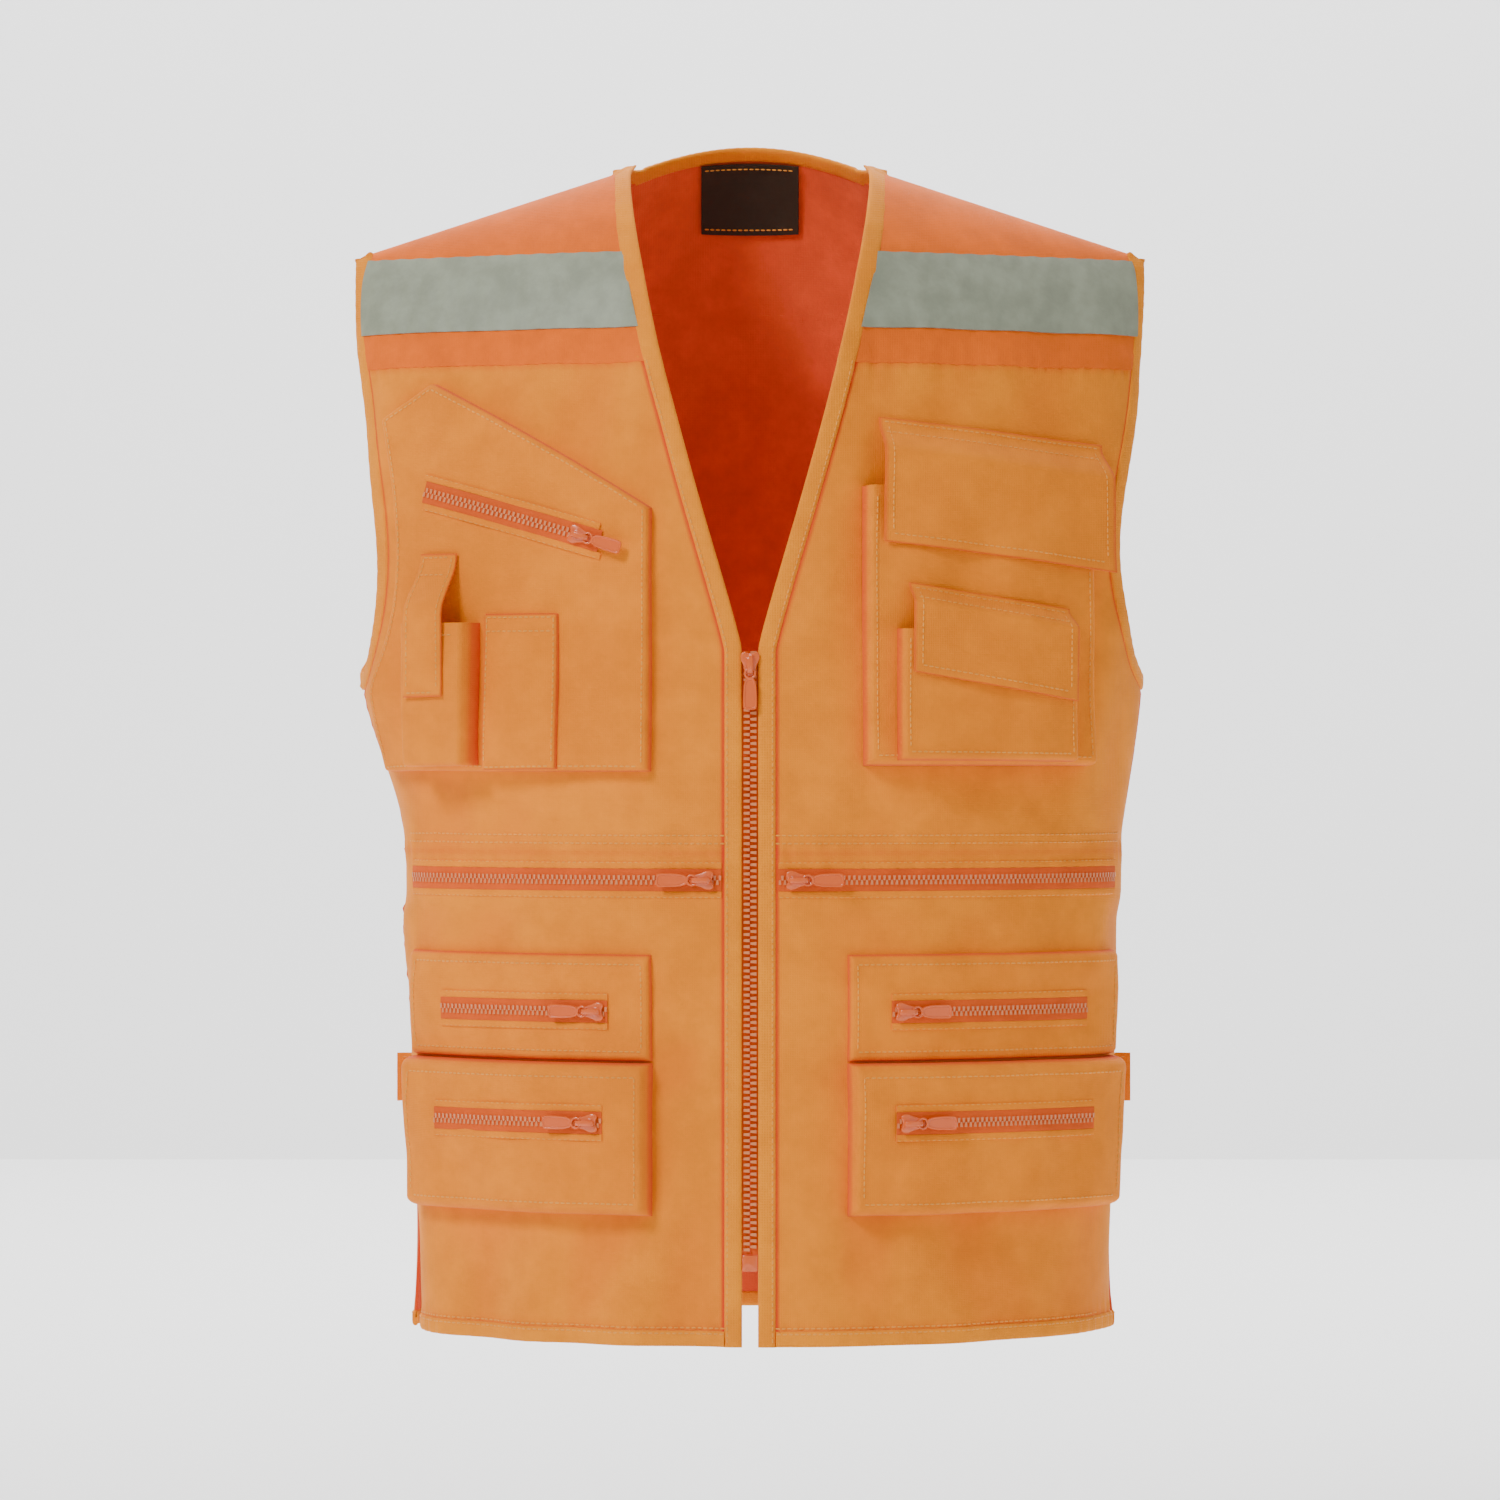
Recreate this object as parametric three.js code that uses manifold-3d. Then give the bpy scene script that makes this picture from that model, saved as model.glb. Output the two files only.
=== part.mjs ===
// A sleeveless hunting vest in blaze orange cloth: back, two fronts that open on a zip, a yoke over the
// shoulders with reflective tape, bound edges, chest pockets and lower pockets with their zips and flaps.
// Millimetres. +X is the wearer's left, -Y the front, +Z up. The origin is where the shoulders carry it.
import * as THREE from "three";
import { mergeVertices } from "three/addons/utils/BufferGeometryUtils.js";
import Module from "manifold-3d";

// ---- Driving dimensions ----

// the body of the vest, as worn, in plan an oval of four arcs
const CHEST_HALF_WIDTH = 224;
const HALF_DEPTH = 122;
const SIDE_RADIUS = 70;
const SHOULDER_FLARE = 8;
const WAIST_TAPER = 16;
const HEM_TAPER = 24;
const SKIRT_SHIFT = 8;

// heights, from the shoulder's neck point down
const YOKE_DROP = 112;
const BACK_YOKE_DROP = 72;
const NECK_BELOW_YOKE = 164;
const ARMHOLE_DROP = 287;
const CHEST_LENGTH = 278;
const WAIST_ZIP_DROP = 15;
const FLAT_POCKET_TOP_DROP = 57;
const FLAT_POCKET_HEIGHT = 60;
const BELLOWS_POCKET_HEIGHT = 86;
const HEM_BELOW_POCKETS = 73;
const CHEST_BELOW_NECK = 68;

// the shoulder line and the neck
const SHOULDER_SLOPE = 51 / 157;
const NECK_HALF_WIDTH = 70;
const NECK_POINT_Z = 5;
const NECK_CROWN = 40;
const BACK_NECK_RISE = 20;
const FRONT_DOME = 220;
const BACK_DOME = 150;
const RIDGE_GAP = 1.8;

// the armhole, as how far its edge stands in from the side
const ARMHOLE_TOP_INSET = 3;
const ARMHOLE_INSET = 13;
const ARMHOLE_TOP_Z = -46;
const RING_TOP_DROP = 5;

// cloth and trims
const CLOTH = 2;
const GAP = 0.5;
const EDGE_GAP = 1.2;
const SWING_GAP = 2.4;
const NECK_GAP = 3;
const PAD_GAP = 0.8;
const CHEST_GAP = 2.2;
const STACK_GAP = 1.2;
const BINDING_WIDTH = 10;
const BINDING_SIDE = 0.7;
const TAPE_WIDTH = 43;
const BACK_TAPE_TOP_DROP = 19;
const BACK_TAPE_ABOVE_SEAM = 8;
const TAPE_THICKNESS = 0.8;
const TAPE_GAP = 1.4;
const TAPE_ABOVE_SEAM = 19;
const LABEL_WIDTH = 60;
const LABEL_HEIGHT = 46;
const LABEL_THICKNESS = 0.8;
const LABEL_GAP = 2.2;
const TAB_HEIGHT = 28;
const TAB_REACH = 9;

// zips, sliders and pulls
const FRONT_EDGE_X = 4.5;
const MAIN_CHAIN_GAP = 0.3;
const ZIP_BOX_SIZE = 8.8;
const ZIP_END_ABOVE_HEM = 52;
const POCKET_ZIP_WIDTH = 13;
const ZIP_THICKNESS = 1.2;
const SLIDER_LENGTH = 14;
const SLIDER_WIDTH = 11;
const SLIDER_THICKNESS = 1.6;
const SLIDER_LIFT = 0.5;
const BRIDGE_LENGTH = 11;
const BRIDGE_WIDTH = 3;
const BRIDGE_THICKNESS = 1.2;
const BRIDGE_ROOM = 2;
const BRIDGE_FOOT = 1.5;
const PULL_LENGTH = 23.5;
const PULL_WIDTH = 7.8;
const PULL_THICKNESS = 1.1;
const PULL_BAR = 1.2;
const PULL_EYE_LENGTH = 5.2;
const PULL_SIDE_CLEARANCE = 0.6;
const PULL_BAR_TO_FOOT = 1.4;

// pockets
const FLAT_PAD = 5;
const BELLOWS_PAD = 14;
const CHEST_PAD = 6;
const PHONE_DEPTH = 16;
const PEN_PAD = 2.6;
const BIG_POCKET_DEPTH = 12;
const SMALL_POCKET_DEPTH = 9;
const POCKET_WALL = 2;
const FLAP_THICKNESS = 1.8;
const FLAP_GAP = 0.8;
const STRAP_THICKNESS = 2;
const PHONE_SIDE_INSET = 38;
const PHONE_WIDTH = 37;
const PEN_WIDTH = 41;
const STRAP_INSET = 6;
const STRAP_WIDTH = 20;
const CHEST_ZIP_INSET = 7;
const BIG_SIDE_INSET = 33;
const SMALL_SIDE_INSET = 16;

// ---- Heights that follow ----

const YOKE_Z = -YOKE_DROP;
const BACK_YOKE_Z = -BACK_YOKE_DROP;
const NECK_Z = YOKE_Z - NECK_BELOW_YOKE;
const ARMHOLE_Z = -ARMHOLE_DROP;
const WAIST_Z = YOKE_Z - CHEST_LENGTH;
const WAIST_ZIP_Z = WAIST_Z - WAIST_ZIP_DROP;
const FLAT_TOP_Z = WAIST_Z - FLAT_POCKET_TOP_DROP;
const FLAT_BOTTOM_Z = FLAT_TOP_Z - FLAT_POCKET_HEIGHT;
const BELLOWS_TOP_Z = FLAT_BOTTOM_Z - 2 * GAP;
const BELLOWS_BOTTOM_Z = BELLOWS_TOP_Z - BELLOWS_POCKET_HEIGHT;
const HEM_Z = BELLOWS_BOTTOM_Z - HEM_BELOW_POCKETS;
const ZIP_END_Z = HEM_Z + ZIP_END_ABOVE_HEM;

// ---- The surface that the cloth follows ----

const { lerp, smoothstep, clamp } = THREE.MathUtils;
const QUARTER = Math.PI / 2;

// the half width at a height: flared at the shoulder, tapering to waist and hem
function halfWidth(z) {
  const flare = SHOULDER_FLARE * smoothstep(z, ARMHOLE_Z, ARMHOLE_TOP_Z);
  const waist = WAIST_TAPER * (1 - smoothstep(z, WAIST_Z - GAP, ARMHOLE_Z));
  const hem = (HEM_TAPER - WAIST_TAPER) * (1 - smoothstep(z, HEM_Z, WAIST_Z));
  return CHEST_HALF_WIDTH + flare - waist - hem;
}

// the skirt hangs a little to one side
function shift(z) {
  return SKIRT_SHIFT * (1 - smoothstep(z, WAIST_Z + GAP, ARMHOLE_Z));
}

// the four arcs at a height: the wide arc's radius, its centre's depth and the angle where it ends
function section(z) {
  const half = halfWidth(z);
  const reach = half - SIDE_RADIUS;
  const wide = (reach ** 2 + HALF_DEPTH ** 2 - SIDE_RADIUS ** 2) / (2 * (HALF_DEPTH - SIDE_RADIUS));
  const centre = wide - HALF_DEPTH;
  return { half, reach, wide, centre, joint: Math.atan2(reach, centre) };
}

// the height of the shoulder line over a place across
function ridge(x) {
  const across = Math.abs(x);
  if (across >= NECK_HALF_WIDTH) return NECK_POINT_Z - SHOULDER_SLOPE * (across - NECK_HALF_WIDTH);
  return NECK_POINT_Z + NECK_CROWN * (1 - (across / NECK_HALF_WIDTH) ** 2);
}

// A point on the surface. turn is the way the oval faces there: 0 front, a quarter turn at the wearer's
// left side, a half turn at the back, and negative on the wearer's right.
function surface(turn, z) {
  const arcs = section(z);
  const way = Math.abs(turn);
  const facing = Math.cos(way) < 0 ? -1 : 1;
  const folded = facing > 0 ? way : Math.PI - way;
  const wide = Math.abs(folded) <= arcs.joint;
  const reach = Math.sign(folded) * arcs.reach;
  const across = wide ? arcs.wide * Math.sin(folded) : reach + SIDE_RADIUS * Math.sin(folded);
  const depth = wide ? arcs.wide * Math.cos(folded) - arcs.centre : SIDE_RADIUS * Math.cos(folded);
  const drop = clamp((ridge(across) - z) / (facing > 0 ? FRONT_DOME : BACK_DOME), 0, 1);
  const bulge = Math.sqrt(1 - (1 - drop) ** 2);
  return new THREE.Vector3(shift(z) + Math.sign(turn || 1) * across, -facing * depth * bulge, z);
}

// which way the surface faces at a place across, on the front or on the back
function turnAt(x, z, back = false) {
  const arcs = section(z);
  const across = Math.abs(x - shift(z));
  const wide = across <= arcs.wide * Math.sin(arcs.joint);
  const sine = wide ? across / arcs.wide : (across - arcs.reach) / SIDE_RADIUS;
  const folded = Math.asin(clamp(sine, -1, 1));
  return (x - shift(z) < 0 ? -1 : 1) * (back ? Math.PI - folded : folded);
}

// the length along the section from the middle to a facing, and the facing at a length
function halfLoop(arcs) {
  return 2 * arcs.wide * arcs.joint + SIDE_RADIUS * (Math.PI - 2 * arcs.joint);
}

function arcLength(turn, z) {
  const arcs = section(z);
  const way = Math.abs(turn);
  if (way > Math.PI) return Math.sign(turn) * (2 * halfLoop(arcs) - arcLength(2 * Math.PI - way, z));
  const sideTurns = clamp(way - arcs.joint, 0, Math.PI - 2 * arcs.joint);
  return Math.sign(turn) * (arcs.wide * (way - sideTurns) + SIDE_RADIUS * sideTurns);
}

function turnAlong(length, z) {
  const arcs = section(z);
  const way = Math.abs(length);
  const loop = halfLoop(arcs);
  if (way > loop) return Math.sign(length) * (2 * Math.PI - turnAlong(2 * loop - way, z));
  const toJoint = arcs.wide * arcs.joint;
  const sideLength = SIDE_RADIUS * (Math.PI - 2 * arcs.joint);
  if (way <= toJoint) return length / arcs.wide;
  if (way <= toJoint + sideLength) return Math.sign(length) * (arcs.joint + (way - toJoint) / SIDE_RADIUS);
  return Math.sign(length) * (Math.PI - arcs.joint + (way - toJoint - sideLength) / arcs.wide);
}

const STEP = 1e-3;

function outward(turn, z) {
  const along = surface(turn + STEP, z).sub(surface(turn - STEP, z));
  const up = surface(turn, z + STEP).sub(surface(turn, z - STEP));
  return along.cross(up).normalize();
}

// a point that stands off the surface
function standOff(turn, z, height) {
  return surface(turn, z).addScaledVector(outward(turn, z), height);
}

// ---- Solids ----

const wasm = await Module();
wasm.setup();

function geometryOf(points, triangles) {
  const geometry = new THREE.BufferGeometry();
  const values = points.flatMap((p) => [p.x, p.y, p.z]);
  geometry.setAttribute("position", new THREE.Float32BufferAttribute(values, 3));
  geometry.setIndex(triangles);
  return geometry;
}

// A closed sheet of cloth: at(u, v, outer) gives its points, u from 0 to 1 across and v from 0 to 1 down.
function sheet(columns, rows, at) {
  const points = [];
  for (const outer of [true, false]) {
    for (let row = 0; row <= rows; row++) {
      for (let column = 0; column <= columns; column++) points.push(at(column / columns, row / rows, outer));
    }
  }
  const index = (column, row, outer) => (outer ? 0 : (columns + 1) * (rows + 1)) + row * (columns + 1) + column;
  const triangles = [];
  const quad = (a, b, c, d) => triangles.push(a, b, c, a, c, d);
  for (let row = 0; row < rows; row++) {
    for (let column = 0; column < columns; column++) {
      const corners = [[column, row], [column, row + 1], [column + 1, row + 1], [column + 1, row]];
      quad(...corners.map(([i, j]) => index(i, j, true)));
      quad(...corners.reverse().map(([i, j]) => index(i, j, false)));
    }
  }
  for (let column = 0; column < columns; column++) {
    quad(index(column, 0, true), index(column + 1, 0, true), index(column + 1, 0, false), index(column, 0, false));
    quad(
      index(column + 1, rows, true), index(column, rows, true),
      index(column, rows, false), index(column + 1, rows, false),
    );
  }
  for (let row = 0; row < rows; row++) {
    quad(index(0, row + 1, true), index(0, row, true), index(0, row, false), index(0, row + 1, false));
    quad(
      index(columns, row, true), index(columns, row + 1, true),
      index(columns, row + 1, false), index(columns, row, false),
    );
  }
  return facingOut(geometryOf(points, triangles));
}

function signedVolume(geometry) {
  const place = geometry.getAttribute("position");
  const corner = (k) => new THREE.Vector3().fromBufferAttribute(place, geometry.index.getX(k));
  let total = 0;
  for (let k = 0; k < geometry.index.count; k += 3) total += corner(k).dot(corner(k + 1).cross(corner(k + 2)));
  return total;
}

function facingOut(geometry) {
  if (signedVolume(geometry) > 0) return geometry;
  const order = Array.from(geometry.index.array);
  for (let k = 0; k < order.length; k += 3) [order[k + 1], order[k + 2]] = [order[k + 2], order[k + 1]];
  geometry.setIndex(order);
  return geometry;
}

function solidOf(geometry) {
  const bare = geometry.clone();
  bare.deleteAttribute("normal");
  bare.deleteAttribute("uv");
  const merged = mergeVertices(bare, 1e-4);
  const vertProperties = new Float32Array(merged.getAttribute("position").array);
  const triVerts = new Uint32Array(merged.index.array);
  return new wasm.Manifold(new wasm.Mesh({ numProp: 3, vertProperties, triVerts }));
}

function geometryFrom(solid) {
  const mesh = solid.getMesh();
  const geometry = new THREE.BufferGeometry();
  geometry.setAttribute("position", new THREE.Float32BufferAttribute(mesh.vertProperties, 3));
  geometry.setIndex(Array.from(mesh.triVerts));
  return geometry;
}

const cut = (whole, tool) => geometryFrom(solidOf(whole).subtract(solidOf(tool)));
const join = (...pieces) => geometryFrom(pieces.map(solidOf).reduce((sum, piece) => sum.add(piece)));

function block(low, high) {
  const size = high.map((value, k) => value - low[k]);
  const middle = high.map((value, k) => (value + low[k]) / 2);
  return new THREE.BoxGeometry(...size).translate(...middle);
}

// ---- The vest as a group of named pieces ----

const vest = new THREE.Group();

const FINISHES = {
  cloth: { color: 0xe2984f, roughness: 0.85, metalness: 0 },
  yoke: { color: 0xdf8040, roughness: 0.8, metalness: 0 },
  binding: { color: 0xe29a52, roughness: 0.85, metalness: 0 },
  tape: { color: 0x9fa599, roughness: 0.4, metalness: 0.2 },
  label: { color: 0x342d21, roughness: 0.8, metalness: 0 },
  zip: { color: 0xe08951, roughness: 0.5, metalness: 0 },
  slider: { color: 0xe08a4c, roughness: 0.3, metalness: 0.3 },
};

function piece(name, geometry, finish) {
  geometry.computeVertexNormals();
  const mesh = new THREE.Mesh(geometry, new THREE.MeshStandardMaterial(FINISHES[finish]));
  mesh.name = name;
  vest.add(mesh);
  return mesh;
}

const SIDES = [["right", -1], ["left", 1]];

// ---- Edges of the pattern pieces, as places across at a height, for one side ----

// the V of the neck: straight above the yoke seam, then a curve that closes at the zip
function neckEdge(z) {
  const fall = clamp((NECK_POINT_Z - z) / (NECK_POINT_Z - NECK_Z), 0, 1);
  return FRONT_EDGE_X + (NECK_HALF_WIDTH - FRONT_EDGE_X) * (1 - fall ** 1.45) ** 1.12;
}

function armholeEdge(z) {
  const fall = clamp((ARMHOLE_TOP_Z - z) / (ARMHOLE_TOP_Z - ARMHOLE_Z), 0, 1);
  const inset = ARMHOLE_TOP_INSET * (1 - fall) + ARMHOLE_INSET * Math.sin(Math.PI * fall ** 1.9);
  return halfWidth(z) - inset;
}

// how far across a trim of a given width reaches at the armhole, where the cloth turns to the side
function acrossFor(width, x, z) {
  const turn = Math.abs(turnAt(x, z));
  const drop = clamp((ridge(x) - z) / FRONT_DOME, 0, 1);
  const bulge = Math.sqrt(1 - (1 - drop) ** 2);
  const flat = Math.max(Math.cos(turn), 0.12);
  return (width * flat) / Math.hypot(flat, bulge * Math.sin(turn));
}

const SEAM_BOTTOM_Z = ARMHOLE_Z - BINDING_WIDTH;

// the line where the armhole binding meets the panels
function armholeSeam(z) {
  const fall = clamp((ARMHOLE_TOP_Z - z) / (ARMHOLE_TOP_Z - SEAM_BOTTOM_Z), 0, 1);
  const inset = ARMHOLE_TOP_INSET * (1 - fall) + ARMHOLE_INSET * Math.sin(Math.PI * fall ** 1.9);
  const edge = halfWidth(z) - inset;
  return edge - acrossFor(BINDING_WIDTH * (1 - fall ** 4), edge, z);
}

const neckSeam = (z) => neckEdge(z) + BINDING_WIDTH;

// the heights of an armhole's stations along its seam, closer together at its top and its bottom
const ARMHOLE_STEPS = 12;
const armholeHeights = Array.from({ length: ARMHOLE_STEPS + 1 }, (_, k) => {
  return lerp(ARMHOLE_TOP_Z - RING_TOP_DROP, SEAM_BOTTOM_Z, (1 - Math.cos((Math.PI * k) / ARMHOLE_STEPS)) / 2);
});

// where a front ends at the side: the armhole's seam above, the side seam below the underarm
const SIDE_GAP_TURN = GAP / SIDE_RADIUS;
function frontOuterTurn(z) {
  const sideTurn = QUARTER - SIDE_GAP_TURN;
  if (z < SEAM_BOTTOM_Z - GAP) return sideTurn;
  return Math.min(turnAt(armholeSeam(z) + shift(z), z) - SWING_GAP / SIDE_RADIUS, sideTurn);
}

// ---- Yoke and its tape ----

// the height on the dome after a turn over it from the shoulder line
function domeHeight(x, over, dome) {
  return ridge(x) - dome * (1 - Math.cos(over));
}

function overAt(x, z, dome) {
  return Math.acos(clamp(1 - (ridge(x) - z) / dome, -1, 1));
}

const OVER_START = RIDGE_GAP / HALF_DEPTH;

// a stretch of front yoke between two heights; top null means from the shoulder line
function frontYokeAt(side, inward, outer, top, bottom, low, high) {
  return (u, v, isOuter) => {
    const along = lerp(NECK_HALF_WIDTH + BINDING_WIDTH, armholeSeam(ARMHOLE_TOP_Z), u);
    const start = top === null ? OVER_START : overAt(along, top, FRONT_DOME);
    const z = domeHeight(along, lerp(start, overAt(along, bottom, FRONT_DOME), v), FRONT_DOME);
    const across = lerp(neckSeam(z) + inward, armholeSeam(z) - outer, u);
    return standOff(turnAt(side * across, z), z, isOuter ? high : low);
  };
}

for (const [name, side] of SIDES) {
  const yoke = frontYokeAt(side, EDGE_GAP, EDGE_GAP, null, YOKE_Z + GAP, -CLOTH, 0);
  piece(`front_yoke_${name}`, sheet(8, 7, yoke), "yoke");
  const tapeBottom = YOKE_Z + TAPE_ABOVE_SEAM;
  const tapeTop = tapeBottom + TAPE_WIDTH;
  const tapeFace = TAPE_GAP + TAPE_THICKNESS;
  const tape = frontYokeAt(side, EDGE_GAP, EDGE_GAP, tapeTop, tapeBottom, TAPE_GAP, tapeFace);
  piece(`reflective_tape_${name}`, sheet(9, 3, tape), "tape");
}

// the back of the neck: the bound edge, from one neck point to the other
function backNeckOver(x) {
  const rise = BACK_NECK_RISE * (1 - clamp(Math.abs(x) / NECK_HALF_WIDTH, 0, 1) ** 2);
  return Math.acos(1 - rise / BACK_DOME);
}

const NECK_OUTER = NECK_HALF_WIDTH + BINDING_WIDTH;
const NECK_COLUMNS = 10;

// how far over the back the binding's seam lies
function backNeckSeamOver(x) {
  const share = Math.abs(x) / NECK_OUTER;
  if (share >= 1) return 0;
  return backNeckOver(share * NECK_HALF_WIDTH) + (BINDING_WIDTH / HALF_DEPTH) * (1 - share ** 2);
}

// columns across the back: some over the neck, at its binding's stations, and the rest outside
const BACK_COLUMNS = 24;
function backAcross(u, span) {
  const way = 2 * u - 1;
  const neckShare = NECK_COLUMNS / BACK_COLUMNS;
  if (Math.abs(way) <= neckShare) return Math.sin((QUARTER * way) / neckShare) * NECK_OUTER;
  return Math.sign(way) * lerp(NECK_OUTER, span, (Math.abs(way) - neckShare) / (1 - neckShare));
}

function backYokeAt(top, bottom, low, high) {
  return (u, v, isOuter) => {
    const across = backAcross(u, backSpan(ARMHOLE_TOP_Z));
    const z = domeHeight(across, lerp(top(across), overAt(across, bottom, BACK_DOME), v), BACK_DOME);
    return standOff(turnAt(backAcross(u, backSpan(z)), z, true), z, isOuter ? high : low);
  };
}

const backSpan = (z) => armholeSeam(z) - EDGE_GAP;
const backTop = (x) => Math.max(OVER_START, backNeckSeamOver(x) + NECK_GAP / HALF_DEPTH);
piece("back_yoke", sheet(BACK_COLUMNS, 7, backYokeAt(backTop, BACK_YOKE_Z + GAP, -CLOTH, 0)), "yoke");

const BACK_TAPE_BOTTOM_Z = BACK_YOKE_Z + BACK_TAPE_ABOVE_SEAM;
const backTapeTop = (x) => overAt(x, Math.min(-BACK_TAPE_TOP_DROP, ridge(x) - EDGE_GAP), BACK_DOME);
const backTape = backYokeAt(backTapeTop, BACK_TAPE_BOTTOM_Z, TAPE_GAP, TAPE_GAP + TAPE_THICKNESS);
piece("reflective_tape_back", sheet(BACK_COLUMNS, 4, backTape), "tape");

// the label hangs inside, below the binding
function labelAt(u, v, isOuter) {
  const across = (u - 0.5) * LABEL_WIDTH;
  const start = backNeckSeamOver(across) + GAP / HALF_DEPTH;
  const z = domeHeight(across, start + (v * LABEL_HEIGHT) / HALF_DEPTH, BACK_DOME);
  return standOff(turnAt(across, z, true), z, -CLOTH - LABEL_GAP - (isOuter ? 0 : LABEL_THICKNESS));
}
piece("neck_label", sheet(4, 4, labelAt), "label");

// ---- Bindings ----

const BINDING_IN = -CLOTH - BINDING_SIDE;

// one binding runs down both sides of the neck to the yoke seam and round the back of the neck
function neckBinding() {
  const stations = [];
  const FRONT_STEPS = 6;
  for (let k = 0; k < FRONT_STEPS; k++) {
    const share = k / FRONT_STEPS;
    const over = lerp(overAt(NECK_HALF_WIDTH, YOKE_Z + GAP, FRONT_DOME), OVER_START, share);
    const z = domeHeight(NECK_HALF_WIDTH, over, FRONT_DOME);
    stations.push((side) => [neckEdge(z), neckSeam(z)].map((x) => [turnAt(side * x, z), z]));
  }
  const front = stations.map((station) => station(1));
  const back = [];
  for (let k = 0; k <= NECK_COLUMNS; k++) {
    const share = Math.sin(QUARTER * (1 - (2 * k) / NECK_COLUMNS));
    const edgeX = share * NECK_HALF_WIDTH;
    const seamX = share * NECK_OUTER;
    const edgeZ = domeHeight(edgeX, Math.max(backNeckOver(edgeX), OVER_START), BACK_DOME);
    const seamZ = domeHeight(seamX, Math.max(backNeckSeamOver(seamX), OVER_START), BACK_DOME);
    back.push([[turnAt(edgeX, edgeZ, true), edgeZ], [turnAt(seamX, seamZ, true), seamZ]]);
  }
  const far = stations.map((station) => station(-1)).reverse();
  const path = [...front, ...back, ...far];
  return sheet(1, path.length - 1, (u, v, isOuter) => {
    const [turn, z] = path[Math.round(v * (path.length - 1))][Math.round(u)];
    return standOff(turn, z, isOuter ? BINDING_SIDE : BINDING_IN);
  });
}
piece("neck_binding", neckBinding(), "binding");

// an armhole's binding is a closed ring: down the front edge, through the underarm and up the back
function armholeBinding(side) {
  const edgeShare = (ARMHOLE_TOP_Z - ARMHOLE_Z) / (ARMHOLE_TOP_Z - SEAM_BOTTOM_Z);
  const station = (seamZ, back) => {
    const edgeZ = lerp(ARMHOLE_TOP_Z, seamZ, edgeShare);
    return [[armholeEdge(edgeZ), edgeZ], [armholeSeam(seamZ), seamZ]].map(([x, z]) => {
      return [turnAt(side * x + shift(z), z, back), z];
    });
  };
  const front = armholeHeights.slice(0, -1).map((z) => station(z, false));
  const back = armholeHeights.slice(0, -1).map((z) => station(z, true)).reverse();
  return [...front, [[side * QUARTER, ARMHOLE_Z], [side * QUARTER, SEAM_BOTTOM_Z]], ...back];
}

function stripThrough(path, low, high, closed) {
  const points = [];
  const triangles = [];
  for (const [edge, seam] of path) {
    points.push(standOff(...edge, high), standOff(...seam, high), standOff(...seam, low), standOff(...edge, low));
  }
  const count = path.length;
  for (let k = 0; k < (closed ? count : count - 1); k++) {
    const next = (k + 1) % count;
    for (let corner = 0; corner < 4; corner++) {
      const after = (corner + 1) % 4;
      triangles.push(4 * k + corner, 4 * k + after, 4 * next + after);
      triangles.push(4 * k + corner, 4 * next + after, 4 * next + corner);
    }
  }
  if (!closed) {
    const last = 4 * (count - 1);
    triangles.push(0, 2, 1, 0, 3, 2, last, last + 1, last + 2, last, last + 2, last + 3);
  }
  return facingOut(geometryOf(points, triangles));
}

for (const [name, side] of SIDES) {
  const ring = armholeBinding(side);
  piece(`armhole_binding_${name}`, stripThrough(ring, BINDING_IN, BINDING_SIDE, true), "binding");
}

// ---- Panels ----

// a panel between two edges, each a facing at a height, with its columns spread evenly along the cloth
function panel(columns, heights, from, to, low, high) {
  const rows = heights.length - 1;
  return sheet(columns, rows, (u, v, isOuter) => {
    const z = heights[Math.round(v * rows)];
    const length = lerp(arcLength(from(z), z), arcLength(to(z), z), u);
    return standOff(turnAlong(length, z), z, isOuter ? high : low);
  });
}

function spread(top, bottom, steps) {
  return Array.from({ length: steps + 1 }, (_, k) => lerp(top, bottom, k / steps));
}

const BACK_SIDE_TURN = Math.PI - QUARTER + SIDE_GAP_TURN;

function backOuterTurn(z) {
  return Math.PI - Math.min(frontOuterTurn(z), Math.PI - BACK_SIDE_TURN);
}

const HEM_WIDTH = 8;
const bodyHeights = (top) => [
  top, ...armholeHeights.filter((z) => z < top - EDGE_GAP), ...spread(SEAM_BOTTOM_Z, WAIST_Z, 3).slice(1),
];
const backHeights = [...bodyHeights(BACK_YOKE_Z - GAP), ...spread(WAIST_Z, HEM_Z + HEM_WIDTH + GAP, 4).slice(1)];
const farTurn = (z) => 2 * Math.PI - backOuterTurn(z);
piece("back_panel", panel(24, backHeights, backOuterTurn, farTurn, -CLOTH, 0), "cloth");
const hemHeights = [HEM_Z + HEM_WIDTH, HEM_Z];
piece("hem_binding_back", panel(24, hemHeights, backOuterTurn, farTurn, BINDING_IN, BINDING_SIDE), "binding");

const innerTurn = (side) => (z) => turnAt(side * (neckSeam(z) + EDGE_GAP), z);
const outerTurn = (side) => (z) => side * frontOuterTurn(z);

const tabCentreZ = BELLOWS_TOP_Z - TAB_HEIGHT / 2;
const TAB_THICKNESS = 2;

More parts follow.
